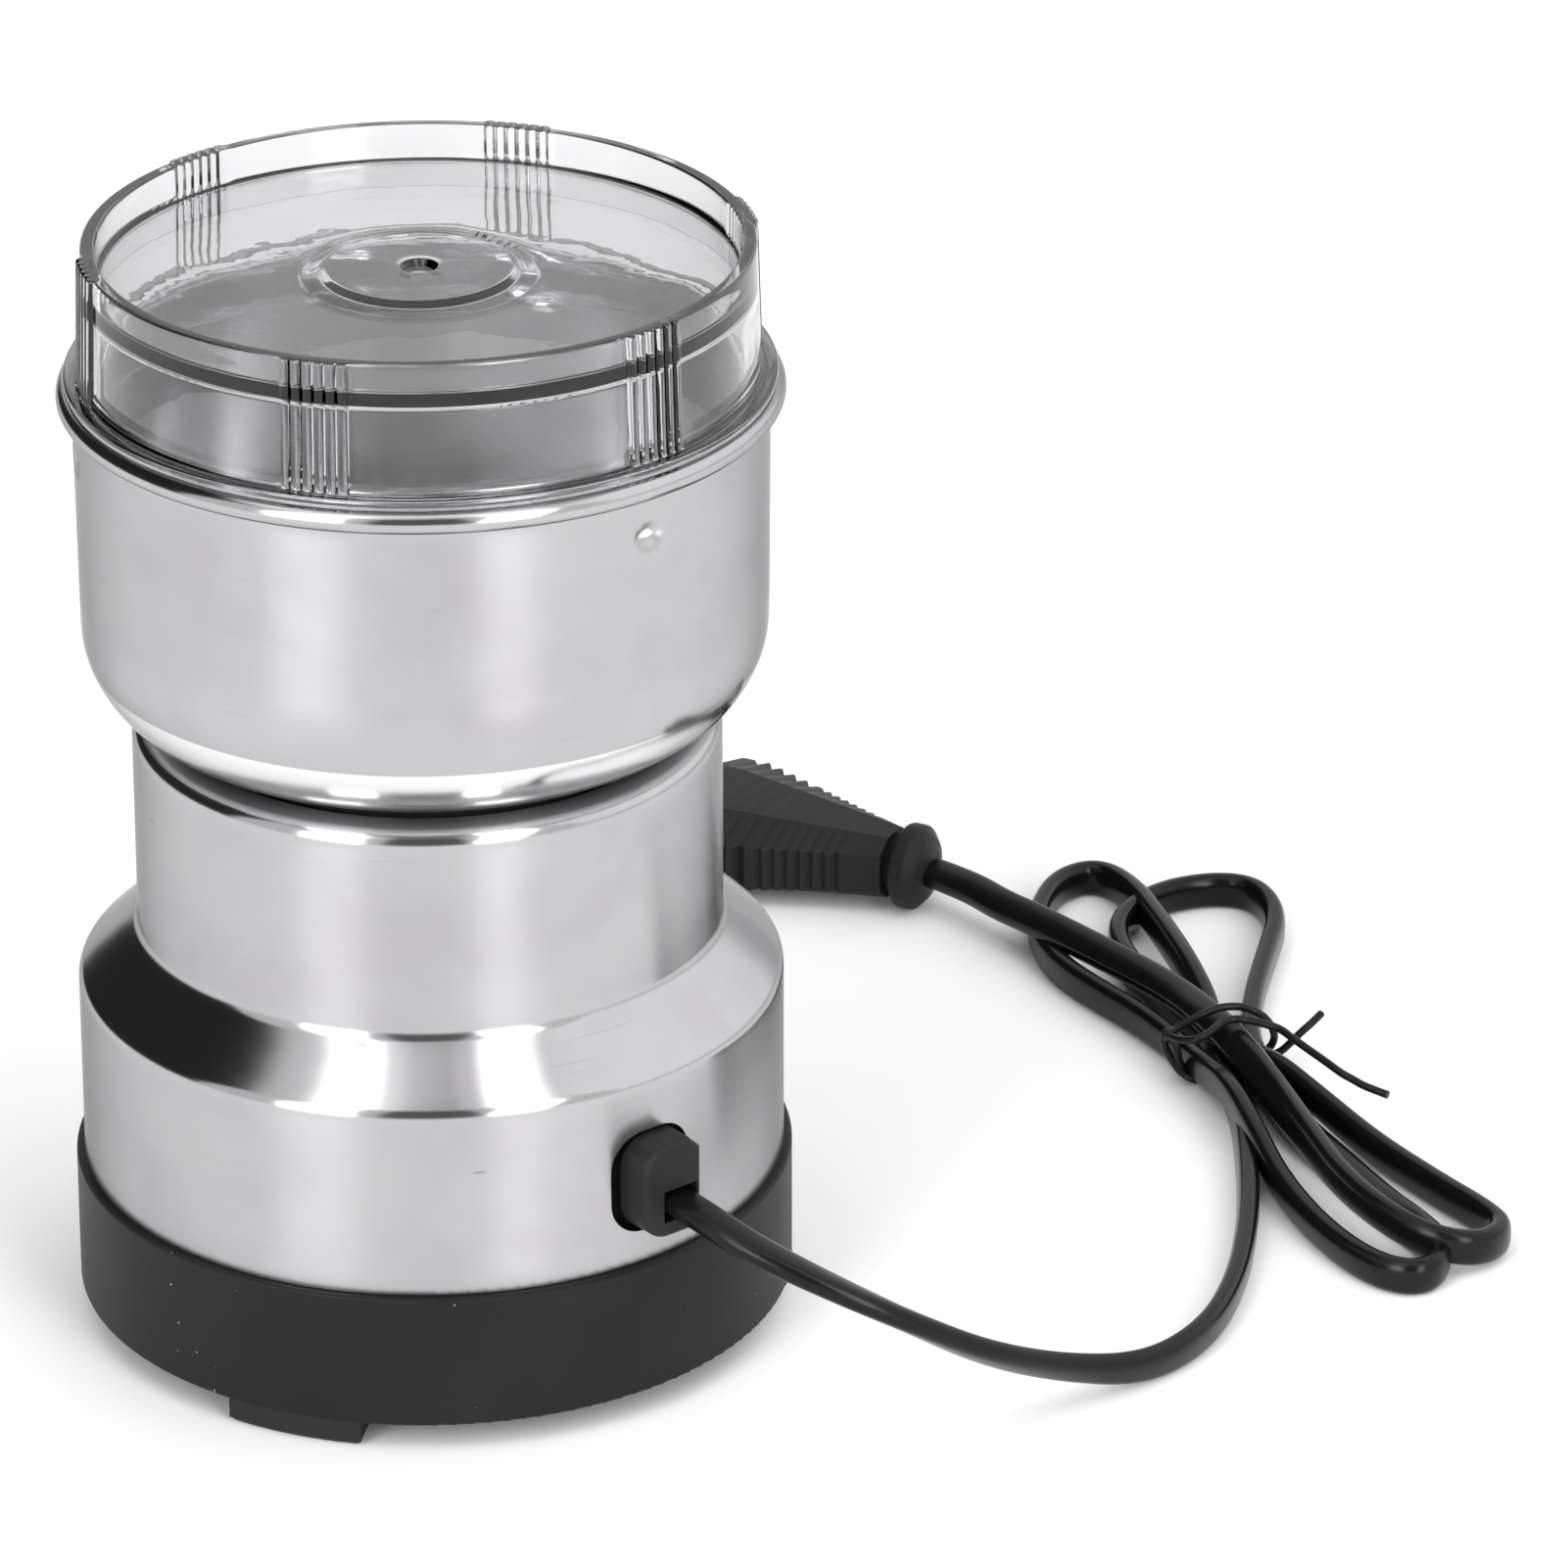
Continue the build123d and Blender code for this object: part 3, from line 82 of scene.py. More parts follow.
def calc(tree, operation, *values):
    return addNode(tree, "Math", dict(enumerate(values)), operation=operation).outputs[0]


def fade(tree, value, low, high, outLow=0.0, outHigh=1.0):
    # smooth step of a value between two limits
    made = addNode(tree, "MapRange", {"Value": value, "From Min": low, "From Max": high,
                                      "To Min": outLow, "To Max": outHigh},
                   interpolation_type="SMOOTHSTEP")
    return made.outputs["Result"]


def mixColour(tree, factor, first, second):
    return addNode(tree, "Mix", {0: factor, 6: first, 7: second}, data_type="RGBA").outputs[2]


def mixValue(tree, factor, first, second):
    return addNode(tree, "Mix", {0: factor, 2: first, 3: second}, data_type="FLOAT").outputs[0]


def multiply(tree, *values):
    product = values[0]
    for value in values[1:]:
        product = calc(tree, "MULTIPLY", product, value)
    return product


def opaque(colour):
    return (*colour, 1.0)


# the room: pale all round, with two tall strip lights and darker parts that steel mirrors.
# azimuth 0 is the front and grows towards +X, in degrees
room = {
    "pale": 0.90,
    "strips": [  # azimuth low and high up, half width low and high up
        {"low": -34.5, "high": -41.0, "halfLow": 11.5, "halfHigh": 14.0, "lightLow": 7.0, "lightHigh": 2.2},
        {"low": 28.0, "high": 44.0, "halfLow": 8.5, "halfHigh": 15.0, "lightLow": 7.0, "lightHigh": 2.2},
    ],
    "stripTop": 72.0,
    "lightTurns": (24.0, 42.0),  # heights between which the strips go from low to high light
    "zones": [  # azimuth range, height range, share of the pale light there
        {"from": -15.0, "to": 17.0, "bottom": -2.0, "top": 56.0, "share": 0.16},
        {"from": -156.0, "to": -76.0, "bottom": -3.0, "top": 60.0, "share": 0.03},
        {"from": -14.0, "to": 15.0, "bottom": 58.0, "top": 76.0, "share": 0.62},
        {"from": 62.0, "to": 150.0, "bottom": 10.0, "top": 62.0, "share": 1.5},
    ],
    "zoneEdge": 3.0,  # half width of the soft edges, in degrees
    "stripEdge": 1.5,
    "stripEnd": 4.0,
    "seen": (1.0, 0.995, 1.0),
}


def buildRoom():
    world = bpy.data.worlds.new("room")
    bpy.context.scene.world = world
    world.use_nodes = True
    tree = world.node_tree
    tree.nodes.clear()
    aim = addNode(tree, "TexCoord").outputs["Generated"]
    parts = addNode(tree, "SeparateXYZ", {0: aim})
    front = calc(tree, "MULTIPLY", parts.outputs["Y"], -1.0)
    azimuth = calc(tree, "DEGREES", calc(tree, "ARCTAN2", parts.outputs["X"], front))
    height = calc(tree, "DEGREES", calc(tree, "ARCSINE", parts.outputs["Z"]))
    light = room["pale"]
    edge, stripEdge, stripEnd = room["zoneEdge"], room["stripEdge"], room["stripEnd"]
    for zone in room["zones"]:
        inside = multiply(
            tree,
            fade(tree, azimuth, zone["from"] - edge, zone["from"] + edge),
            fade(tree, azimuth, zone["to"] - edge, zone["to"] + edge, 1.0, 0.0),
            fade(tree, height, zone["bottom"] - edge, zone["bottom"] + edge),
            fade(tree, height, zone["top"] - edge, zone["top"] + edge, 1.0, 0.0))
        light = multiply(tree, light, calc(tree, "MULTIPLY_ADD", inside, zone["share"] - 1.0, 1.0))
    up = fade(tree, height, 0.0, room["stripTop"])
    ends = multiply(tree, fade(tree, height, -stripEnd, 0.0),
                    fade(tree, height, room["stripTop"] - stripEnd, room["stripTop"] + stripEnd, 1.0, 0.0))
    for strip in room["strips"]:
        centre = calc(tree, "MULTIPLY_ADD", up, strip["high"] - strip["low"], strip["low"])
        half = calc(tree, "MULTIPLY_ADD", up, strip["halfHigh"] - strip["halfLow"], strip["halfLow"])
        away = calc(tree, "ABSOLUTE", calc(tree, "SUBTRACT", azimuth, centre))
        inside = fade(tree, calc(tree, "SUBTRACT", away, half), -stripEdge, stripEdge, 1.0, 0.0)
        power = fade(tree, height, *room["lightTurns"], strip["lightLow"], strip["lightHigh"])
        light = calc(tree, "MULTIPLY_ADD", multiply(tree, inside, ends), power, light)
    seen = addNode(tree, "LightPath").outputs["Is Camera Ray"]
    glow = addNode(tree, "Background", {"Color": opaque(room["seen"]),
                                        "Strength": mixValue(tree, seen, light, 1.0)})
    addNode(tree, "OutputWorld", {"Surface": glow.outputs[0]})


buildRoom()

overhead = {"size": 1.3, "place": (-0.15, -0.1, 1.7), "power": 3.0}
lamp = bpy.data.objects.new("overheadBox", bpy.data.lights.new("overheadBox", "AREA"))
lamp.data.shape = "SQUARE"
lamp.data.size = overhead["size"]
lamp.data.energy = overhead["power"]
lamp.location = overhead["place"]
lamp.rotation_euler = Vector(overhead["place"]).to_track_quat("Z", "Y").to_euler()
lamp.visible_camera = False
bpy.context.scene.collection.objects.link(lamp)
print("room lit")


# finishes, one function for each kind and one entry for each slot of the record
def startMaterial(name):
    made = bpy.data.materials.new(name)
    made.use_nodes = True
    tree = made.node_tree
    shader = tree.nodes["Principled BSDF"]
    place = addNode(tree, "TexCoord").outputs["Object"]
    return made, tree, shader, place


def stretched(tree, place, scale):
    return addNode(tree, "Mapping", {"Vector": place, "Scale": scale}).outputs[0]


def grain(tree, place, scale, detail=4.0, roughness=0.6):
    made = addNode(tree, "TexNoise", {"Vector": place, "Scale": scale, "Detail": detail,
                                      "Roughness": roughness})
    return made.outputs["Fac"]


def relief(tree, shader, height, distance, strength=1.0):
    bump = addNode(tree, "Bump", {"Height": height, "Distance": distance, "Strength": strength})
    tree.links.new(bump.outputs[0], shader.inputs["Normal"])


def withinRadius(tree, place, radius):
    # 1 nearer to the motor's axis than this radius in mm, and 0 beyond it
    parts = addNode(tree, "SeparateXYZ", {0: place})
    across = calc(tree, "ADD", calc(tree, "POWER", parts.outputs["X"], 2.0),
                  calc(tree, "POWER", parts.outputs["Y"], 2.0))
    return calc(tree, "LESS_THAN", across, (radius * mm) ** 2)


steel = {
    "colour": (0.49, 0.487, 0.495),
    "tint": (0.455, 0.445, 0.462),
    "edgeTint": (0.5, 0.5, 0.5),
    "roughness": 0.24,
    "polished": 0.15,
    "anisotropic": 0.86,
    "brushTurn": 0.25,  # the brushing runs round the axis
    "lineDepth": 0.0000024,
    "lineScale": (26.0, 26.0, 5200.0),
    "broadScale": (14.0, 14.0, 420.0),
    "scratchScale": (60.0, 60.0, 2600.0),
    "scratchColour": (0.36, 0.36, 0.37),
    "nickScale": (90.0, 90.0, 520.0),
    "nickColour": (0.12, 0.12, 0.12),
    "topZone": (92.25, 93.3),  # the flat top of the neck is dull
    "topRoughness": 0.34,
    "inside": (0.84, 0.84, 0.845),  # painted light: the cup's inside is given a brighter colour
    "paintedLightRadius": 48.6,
    "paintedLightBottom": 94.2,
    # heights in mm between which the sheet is polished, not brushed
    "polishedZones": [(52.0, 61.6), (90.0, 112.0), (140.6, 147.0)],
}


def brushedSteel(name):
    made, tree, shader, place = startMaterial(name)
    height = calc(tree, "MULTIPLY", addNode(tree, "SeparateXYZ", {0: place}).outputs["Z"], 1000.0)
    polish = 0.0
    for low, high in steel["polishedZones"]:
        zone = multiply(tree, fade(tree, height, low - 1.2, low + 1.2),
                        fade(tree, height, high - 2.5, high + 2.5, 1.0, 0.0))
        polish = calc(tree, "MAXIMUM", polish, zone)
    lines = grain(tree, stretched(tree, place, steel["lineScale"]), 1.0, 3.0, 0.7)
    broad = grain(tree, stretched(tree, place, steel["broadScale"]), 1.0, 2.0)
    patches = grain(tree, place, 55.0, 3.0)
    worn = addNode(tree, "TexNoise", {"Vector": stretched(tree, place, steel["scratchScale"]),
                                      "Scale": 1.0, "Detail": 1.0}).outputs["Fac"]
    scratch = fade(tree, worn, 0.70, 0.76)
    spots = addNode(tree, "TexVoronoi", {"Vector": stretched(tree, place, steel["nickScale"]),
                                         "Scale": 1.0, "Randomness": 1.0})
    nick = multiply(tree, fade(tree, spots.outputs["Distance"], 0.05, 0.12, 1.0, 0.0),
                    fade(tree, grain(tree, place, 34.0, 2.0), 0.60, 0.63))
    # painted light: steel inside the cup, above its floor, gets a brighter colour
    paintedInsideLight = multiply(tree, withinRadius(tree, place, steel["paintedLightRadius"]),
                      calc(tree, "GREATER_THAN", height, steel["paintedLightBottom"]))
    colour = mixColour(tree, fade(tree, patches, 0.35, 0.7), opaque(steel["colour"]), opaque(steel["tint"]))
    colour = mixColour(tree, multiply(tree, scratch, 0.25), colour, opaque(steel["scratchColour"]))
    colour = mixColour(tree, multiply(tree, nick, 0.6), colour, opaque(steel["nickColour"]))
    colour = mixColour(tree, paintedInsideLight, colour, opaque(steel["inside"]))
    tree.links.new(colour, shader.inputs["Base Color"])
    rough = calc(tree, "MULTIPLY_ADD", lines, 0.06, steel["roughness"] - 0.03)
    rough = calc(tree, "MULTIPLY_ADD", broad, 0.03, calc(tree, "SUBTRACT", rough, 0.015))
    rough = mixValue(tree, polish, rough, steel["polished"])
    low, high = steel["topZone"]
    top = multiply(tree, fade(tree, height, low - 0.2, low), fade(tree, height, high, high + 0.2, 1.0, 0.0))
    rough = mixValue(tree, top, rough, steel["topRoughness"])
    tree.links.new(rough, shader.inputs["Roughness"])
    shader.inputs["Metallic"].default_value = 1.0
    shader.inputs["Specular Tint"].default_value = opaque(steel["edgeTint"])
    shader.inputs["Anisotropic"].default_value = steel["anisotropic"]
    shader.inputs["Anisotropic Rotation"].default_value = steel["brushTurn"]
    along = addNode(tree, "Tangent", direction_type="RADIAL", axis="Z")
    tree.links.new(along.outputs[0], shader.inputs["Tangent"])
    relief(tree, shader, calc(tree, "MULTIPLY_ADD", scratch, -0.6, lines), steel["lineDepth"], 0.5)
    return made


dustFleck = {"scale": 330.0, "cloud": 90.0, "size": (0.03, 0.07), "colour": (0.42, 0.42, 0.43)}


def mouldedPlastic(name, colour, roughness=0.42, fine=2600.0, depth=0.00002, dust=0.0, level=0.5,
                   lighter=1.35, paintedShadeWithin=0.0):
    made, tree, shader, place = startMaterial(name)
    cloud = grain(tree, place, 38.0, 4.0)
    light = tuple(min(1.0, c * lighter) for c in colour)
    paint = mixColour(tree, fade(tree, cloud, 0.3, 0.75), opaque(colour), opaque(light))
    texture = grain(tree, place, fine, 3.0, 0.55)
    if dust:
        flecks = addNode(tree, "TexVoronoi", {"Vector": place, "Scale": dustFleck["scale"],
                                              "Randomness": 1.0})
        small = fade(tree, flecks.outputs["Distance"], *dustFleck["size"], 1.0, 0.0)
        chosen = fade(tree, grain(tree, place, dustFleck["cloud"], 2.0), 0.51, 0.55)
        paint = mixColour(tree, multiply(tree, small, chosen, dust), paint, opaque(dustFleck["colour"]))
    rough = calc(tree, "MULTIPLY_ADD", cloud, 0.16, roughness - 0.08)
    if paintedShadeWithin:
        # painted shade: what lies deeper than this radius is painted near black, as the shade of the recess,
        # and made rough
        deep = withinRadius(tree, place, paintedShadeWithin)
        paint = mixColour(tree, deep, paint, (0.001, 0.001, 0.001, 1.0))
        rough = calc(tree, "MAXIMUM", rough, deep)
    tree.links.new(paint, shader.inputs["Base Color"])
    tree.links.new(rough, shader.inputs["Roughness"])
    shader.inputs["Specular IOR Level"].default_value = level
    relief(tree, shader, texture, depth, 0.6)
    return made


def clearPlastic(name, finish):
    made, tree, shader, place = startMaterial(name)
    waves = grain(tree, place, finish["waveScale"], 2.0, 0.5)
    ripples = grain(tree, place, finish["rippleScale"], 2.0, 0.5)
    fine = grain(tree, place, 900.0, 2.0)
    paint = mixColour(tree, fade(tree, waves, 0.3, 0.7), opaque(finish["colour"]), opaque(finish["deeper"]))
    tree.links.new(paint, shader.inputs["Base Color"])
    rough = calc(tree, "MULTIPLY_ADD", fine, 0.01, finish["roughness"])
    tree.links.new(rough, shader.inputs["Roughness"])
    shader.inputs["Transmission Weight"].default_value = 1.0
    shader.inputs["IOR"].default_value = finish["ior"]
    height = calc(tree, "MULTIPLY_ADD", ripples, finish["rippleDepth"] / finish["waveDepth"], waves)
    relief(tree, shader, height, finish["waveDepth"])
    smoke = addNode(tree, "VolumeAbsorption", {"Color": opaque(finish["smoke"]),
                                               "Density": finish["smokeDensity"]})
    tree.links.new(smoke.outputs[0], tree.nodes["Material Output"].inputs["Volume"])
    return made


def turnedMetal(name, colour, roughness=0.3, lines=(700.0, 700.0, 90.0), depth=0.000006, dull=0.8):
    made, tree, shader, place = startMaterial(name)
    marks = grain(tree, stretched(tree, place, lines), 1.0, 4.0)
    cloud = grain(tree, place, 120.0, 3.0)
    darker = tuple(c * dull for c in colour)
    paint = mixColour(tree, fade(tree, cloud, 0.3, 0.7), opaque(colour), opaque(darker))
    tree.links.new(paint, shader.inputs["Base Color"])
    rough = calc(tree, "MULTIPLY_ADD", marks, 0.2, roughness - 0.1)
    tree.links.new(rough, shader.inputs["Roughness"])
    shader.inputs["Metallic"].default_value = 1.0
    relief(tree, shader, marks, depth, 0.5)
    return made


def stacked(name, colour, gapColour, pitch, metallic, roughness, tilt=(0.0, 0.0, 1.0)):
    # thin sheets or strands one on another, such as laminations and windings
    made, tree, shader, place = startMaterial(name)
    scale = tuple(math.pi / pitch * t for t in tilt)
    parts = addNode(tree, "SeparateXYZ", {0: stretched(tree, place, scale)})
    along = calc(tree, "ADD", calc(tree, "ADD", parts.outputs["X"], parts.outputs["Y"]),
                 parts.outputs["Z"])
    wave = calc(tree, "ABSOLUTE", calc(tree, "SINE", along))
    cloud = grain(tree, place, 300.0, 3.0)
    paint = mixColour(tree, fade(tree, wave, 0.05, 0.45), opaque(gapColour), opaque(colour))
    paint = mixColour(tree, multiply(tree, cloud, 0.3), paint, opaque(gapColour))
    tree.links.new(paint, shader.inputs["Base Color"])
    rough = calc(tree, "MULTIPLY_ADD", cloud, 0.2, roughness - 0.1)
    tree.links.new(rough, shader.inputs["Roughness"])
    shader.inputs["Metallic"].default_value = metallic
    relief(tree, shader, wave, pitch * 0.3, 0.7)
    return made


clear = {
    "colour": (0.87, 0.869, 0.872),
    "deeper": (0.845, 0.843, 0.848),
    "roughness": 0.006,
    "ior": 1.54,
    "waveScale": 70.0,
    "waveDepth": 0.00006,
    "rippleScale": 250.0,
    "rippleDepth": 0.000012,
    "smoke": (0.70, 0.685, 0.71),
    "smokeDensity": 130.0,
}
finishes = {
    "charcoal_plastic": mouldedPlastic("charcoalPlastic", (0.011, 0.011, 0.0113), 0.46, 1800.0,
                                       0.00003, dust=0.8, level=0.12),
    "brushed_steel": brushedSteel("brushedSteel"),
    "clear_plastic": clearPlastic("clearPlastic", clear),
    "foot_rubber": mouldedPlastic("footRubber", (0.014, 0.014, 0.0145), 0.62, 1500.0, 0.00005,
                                  dust=1.0, level=0.2),
    "frame_plastic": mouldedPlastic("framePlastic", (0.022, 0.022, 0.023), 0.45, 1500.0, 0.00002,
                                    level=0.3),
    # painted shade: the gland inside the housing wall is painted near black
    "gland_plastic": mouldedPlastic("glandPlastic", (0.014, 0.014, 0.0145), 0.48, 2200.0, 0.00004,
                                    level=0.16, paintedShadeWithin=50.9),
    "cord_pvc": mouldedPlastic("cordPvc", (0.004, 0.004, 0.0041), 0.24, 700.0, 0.00002, level=0.22),
    "tie_wire": mouldedPlastic("tieWire", (0.006, 0.006, 0.0062), 0.36, 1600.0, 0.00003, level=0.2),
    "plug_plastic": mouldedPlastic("plugPlastic", (0.012, 0.012, 0.0123), 0.48, 900.0, 0.00006,
                                   level=0.15),
    "pin_metal": turnedMetal("pinMetal", (0.74, 0.72, 0.66), 0.22, (250.0, 250.0, 250.0)),
    "blade_steel": turnedMetal("bladeSteel", (0.60, 0.60, 0.61), 0.26, (900.0, 120.0, 400.0)),
    "screw_steel": turnedMetal("screwSteel", (0.55, 0.55, 0.54), 0.32),
    "lamination_steel": stacked("laminations", (0.42, 0.42, 0.43), (0.12, 0.12, 0.13), 0.0006, 0.9, 0.45),
    "copper_winding": stacked("copperWindings", (0.72, 0.33, 0.13), (0.16, 0.05, 0.02), 0.0006, 0.85,
                              0.34, (0.8, 0.5, 0.3)),
    "commutator_copper": stacked("commutatorBars", (0.80, 0.45, 0.24), (0.10, 0.06, 0.04), 0.0028, 0.95,
                                 0.3, (1.0, 0.6, 0.0)),
    "carbon": mouldedPlastic("carbon", (0.035, 0.035, 0.037), 0.5, 3000.0, 0.00003),
    "brush_brass": turnedMetal("brushBrass", (0.76, 0.60, 0.28), 0.33),
    "bracket_zinc": turnedMetal("bracketZinc", (0.62, 0.63, 0.64), 0.42, (260.0, 260.0, 260.0), 0.00001),
    "bearing_steel": turnedMetal("bearingSteel", (0.60, 0.59, 0.57), 0.24),
    "spring_steel": turnedMetal("springSteel", (0.52, 0.52, 0.52), 0.28, (1500.0, 1500.0, 1500.0)),
    "shaft_steel": turnedMetal("shaftSteel", (0.62, 0.62, 0.63), 0.20, (60.0, 60.0, 3000.0)),
    "damper_rubber": mouldedPlastic("damperRubber", (0.03, 0.03, 0.03), 0.68, 1200.0, 0.00005),
    "switch_plastic": mouldedPlastic("switchPlastic", (0.07, 0.068, 0.066), 0.4, 1600.0, 0.00003),
    "wire_pvc": mouldedPlastic("wirePvc", (0.10, 0.16, 0.42), 0.34, 1400.0, 0.00002),
    "fan_plastic": mouldedPlastic("fanPlastic", (0.60, 0.58, 0.52), 0.42, 1500.0, 0.00002, lighter=1.1),
    "seal_rubber": mouldedPlastic("sealRubber", (0.045, 0.03, 0.028), 0.6, 1400.0, 0.00004),
}


def dress(piece, slotName):
    piece.data.materials.clear()
    piece.data.materials.append(finishes[slotName])


for part in frame["record"]["subparts"]:
    dress(nodes[part["node"]], part["material_slot"])


# floor
floor = {"half": 4.0, "colour": (0.965, 0.965, 0.97), "paler": (0.975, 0.975, 0.975), "cloud": 3.0}


def buildFloor():
    half = floor["half"]
    mesh = bpy.data.meshes.new("floor")
    mesh.from_pydata([(-half, -half, 0), (half, -half, 0), (half, half, 0), (-half, half, 0)], [],
                     [(0, 1, 2, 3)])
    made, tree, shader, place = startMaterial("paleFloor")
    colour = mixColour(tree, grain(tree, place, floor["cloud"]), opaque(floor["colour"]),
                       opaque(floor["paler"]))
    tree.links.new(colour, shader.inputs["Base Color"])
    shader.inputs["Roughness"].default_value = 0.9
    shader.inputs["Specular IOR Level"].default_value = 0.1
    mesh.materials.append(made)
    piece = bpy.data.objects.new("floor", mesh)
    bpy.context.scene.collection.objects.link(piece)


buildFloor()
print("floor laid")


# mesh helpers; shapes in mm, a bearing runs from the front towards +X
def makePiece(name, points, faces, slotName, body, replaced=(), smooth=40.0):
    mesh = bpy.data.meshes.new(name)
    mesh.from_pydata([Vector(p) * mm for p in points], [], faces)
    mesh.validate()
    mesh.shade_smooth()
    mesh.set_sharp_from_angle(angle=math.radians(smooth))
    piece = bpy.data.objects.new(name, mesh)
    bpy.context.scene.collection.objects.link(piece)
    piece.data.materials.append(finishes[slotName])
    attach(piece, body)
    if replaced:
        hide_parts(*replaced)
    return piece


def around(bearing, radius, height=0.0):
    turn = math.radians(bearing)
    return Vector((radius * math.sin(turn), -radius * math.cos(turn), height))


def rounded(corners, arcStep=0.22, longest=400.0):
    # corner points (radius, height, fillet) of a closed outline, made into a fine outline
    outline = []
    count = len(corners)
    for index in range(count):
        before, here, after = (Vector(corners[(index + k) % count][:2]) for k in (-1, 0, 1))
        fillet = corners[index][2]
        if not fillet:
            outline.append(here)
            continue
        toBefore = (before - here).normalized()
        toAfter = (after - here).normalized()
        halfAngle = toBefore.angle(toAfter) / 2
        centre = here + (toBefore + toAfter).normalized() * fillet / math.sin(halfAngle)
        first = here + toBefore * fillet / math.tan(halfAngle) - centre
        last = here + toAfter * fillet / math.tan(halfAngle) - centre
        sweep = first.angle_signed(last)
        steps = max(3, math.ceil(abs(sweep) * fillet / max(arcStep, fillet * 0.08)))
        for step in range(steps + 1):
            outline.append(centre + Matrix.Rotation(-sweep * step / steps, 2) @ first)
    fine = []
    for here, after in zip(outline, outline[1:] + outline[:1]):
        cuts = max(1, math.ceil((after - here).length / longest))
        fine += [here.lerp(after, cut / cuts) for cut in range(cuts)]
    return fine


def turned(outline, bearings, shift=None, put=around):
    # revolves a closed outline; shift moves a point by its radius, height and bearing,
    # and put says where a bearing, radius and height lie
    points, faces = [], []
    rows = len(bearings)
    size = len(outline)
    axisRows = [i for i, p in enumerate(outline) if p.x < 1e-6]
    for bearing in bearings:
        for p in outline:
            radius, height = p.x, p.y
            if shift:
                radius, height = shift(radius, height, bearing)
            points.append(put(bearing, radius, height))
    for row in range(rows):
        ahead = (row + 1) % rows
        for i in range(size):
            j = (i + 1) % size
            corner = [row * size + i, ahead * size + i, ahead * size + j, row * size + j]
            if i in axisRows:
                corner[0] = corner[1] = i
            if j in axisRows:
                corner[2] = corner[3] = j
            unique = list(dict.fromkeys(corner))
            if len(unique) > 2:
                faces.append(unique)
    return points, faces


def spread(step, dense=(), width=0.0, fineStep=0.1):
    # bearings right round, with finer steps near some of them
    bearings = []
    bearing = -180.0
    while bearing < 180.0 - 1e-6:
        bearings.append(bearing)
        close = any(abs((bearing - d + 180) % 360 - 180) < width for d in dense)
        bearing += fineStep if close else step
    return bearings


def tubeFaces(rows, count):
    # the skin and both ends of a tube whose rows run along it
    faces = []
    for i in range(rows - 1):
        for j in range(count):
            k = (j + 1) % count
            faces.append((i * count + j, (i + 1) * count + j, (i + 1) * count + k, i * count + k))
    faces.append(tuple(range(count)))
    faces.append(tuple((rows - 1) * count + j for j in reversed(range(count))))
    return faces


def softenEdges(piece, width, fromDegrees):
    bevel = piece.modifiers.new("softEdges", "BEVEL")
    bevel.width = width * mm
    bevel.segments = 2
    bevel.limit_method = "ANGLE"
    bevel.angle_limit = math.radians(fromDegrees)


def dropLoose(piece):
    # removes points that no face uses, such as copies on the axis
    mesh = piece.data
    used = {v for polygon in mesh.polygons for v in polygon.vertices}
    if len(used) == len(mesh.vertices):
        return
    work = bmesh.new()
    work.from_mesh(mesh)
    for vert in [v for v in work.verts if not v.link_faces]:
        work.verts.remove(vert)
    work.to_mesh(mesh)
    work.free()


# steel housing
housing = {
    "bottom": 24.4,
    "drumRadius": 51.3,
    "edge": 53.0,
    "coneTop": 61.1,
    "neckRadius": 42.5,
    "neckTop": 92.5,
    "mouthRadius": 36.0,
    "mouthBend": 1.12,
    "mouthDepth": 4.5,
    "bend": 2.2,
    "wall": 0.8,
    "steps": 320,
    "window": {"bearing": 39.3, "height": 37.4, "wide": 14.0, "tall": 15.8, "corner": 5.4,
               "from": 42.0, "to": 60.0},
}


def roundedWindow(window, cornerSteps=10):
    # a closed block with the window's outline, from inside the wall to outside it
    out = around(window["bearing"], 1.0)
    across = Vector((0, 0, 1)).cross(out)
    corner = window["corner"]
    outline = []
    for quarter, (side, up) in enumerate(((1, 1), (-1, 1), (-1, -1), (1, -1))):
        for step in range(cornerSteps + 1):
            turn = math.radians(90 * (quarter + step / cornerSteps))
            outline.append((side * (window["wide"] / 2 - corner) + corner * math.cos(turn),
                            up * (window["tall"] / 2 - corner) + corner * math.sin(turn)))
    count = len(outline)
    points = [out * reach + across * side + Vector((0, 0, window["height"] + up))
              for reach in (window["from"], window["to"]) for side, up in outline]
    faces = [(i, (i + 1) % count, count + (i + 1) % count, count + i) for i in range(count)]
    faces += [tuple(reversed(range(count))), tuple(range(count, 2 * count))]
    return points, faces


def cutWindow(piece, window):
    # takes the window's block out of the wall
    points, faces = roundedWindow(window)
    mesh = bpy.data.meshes.new("windowBlock")
    mesh.from_pydata([p * mm for p in points], [], faces)
    block = bpy.data.objects.new("windowBlock", mesh)
    bpy.context.scene.collection.objects.link(block)
    cut = piece.modifiers.new("window", "BOOLEAN")
    cut.object = block
    cut.solver = "EXACT"
    bpy.context.view_layer.update()
    evaluated = piece.evaluated_get(bpy.context.evaluated_depsgraph_get())
    opened = bpy.data.meshes.new_from_object(evaluated)
    piece.modifiers.remove(cut)
    whole = piece.data
    piece.data = opened
    bpy.data.meshes.remove(whole)
    bpy.data.objects.remove(block)
    bpy.data.meshes.remove(mesh)
    opened.name = piece.name
    opened.set_sharp_from_angle(angle=math.radians(40.0))


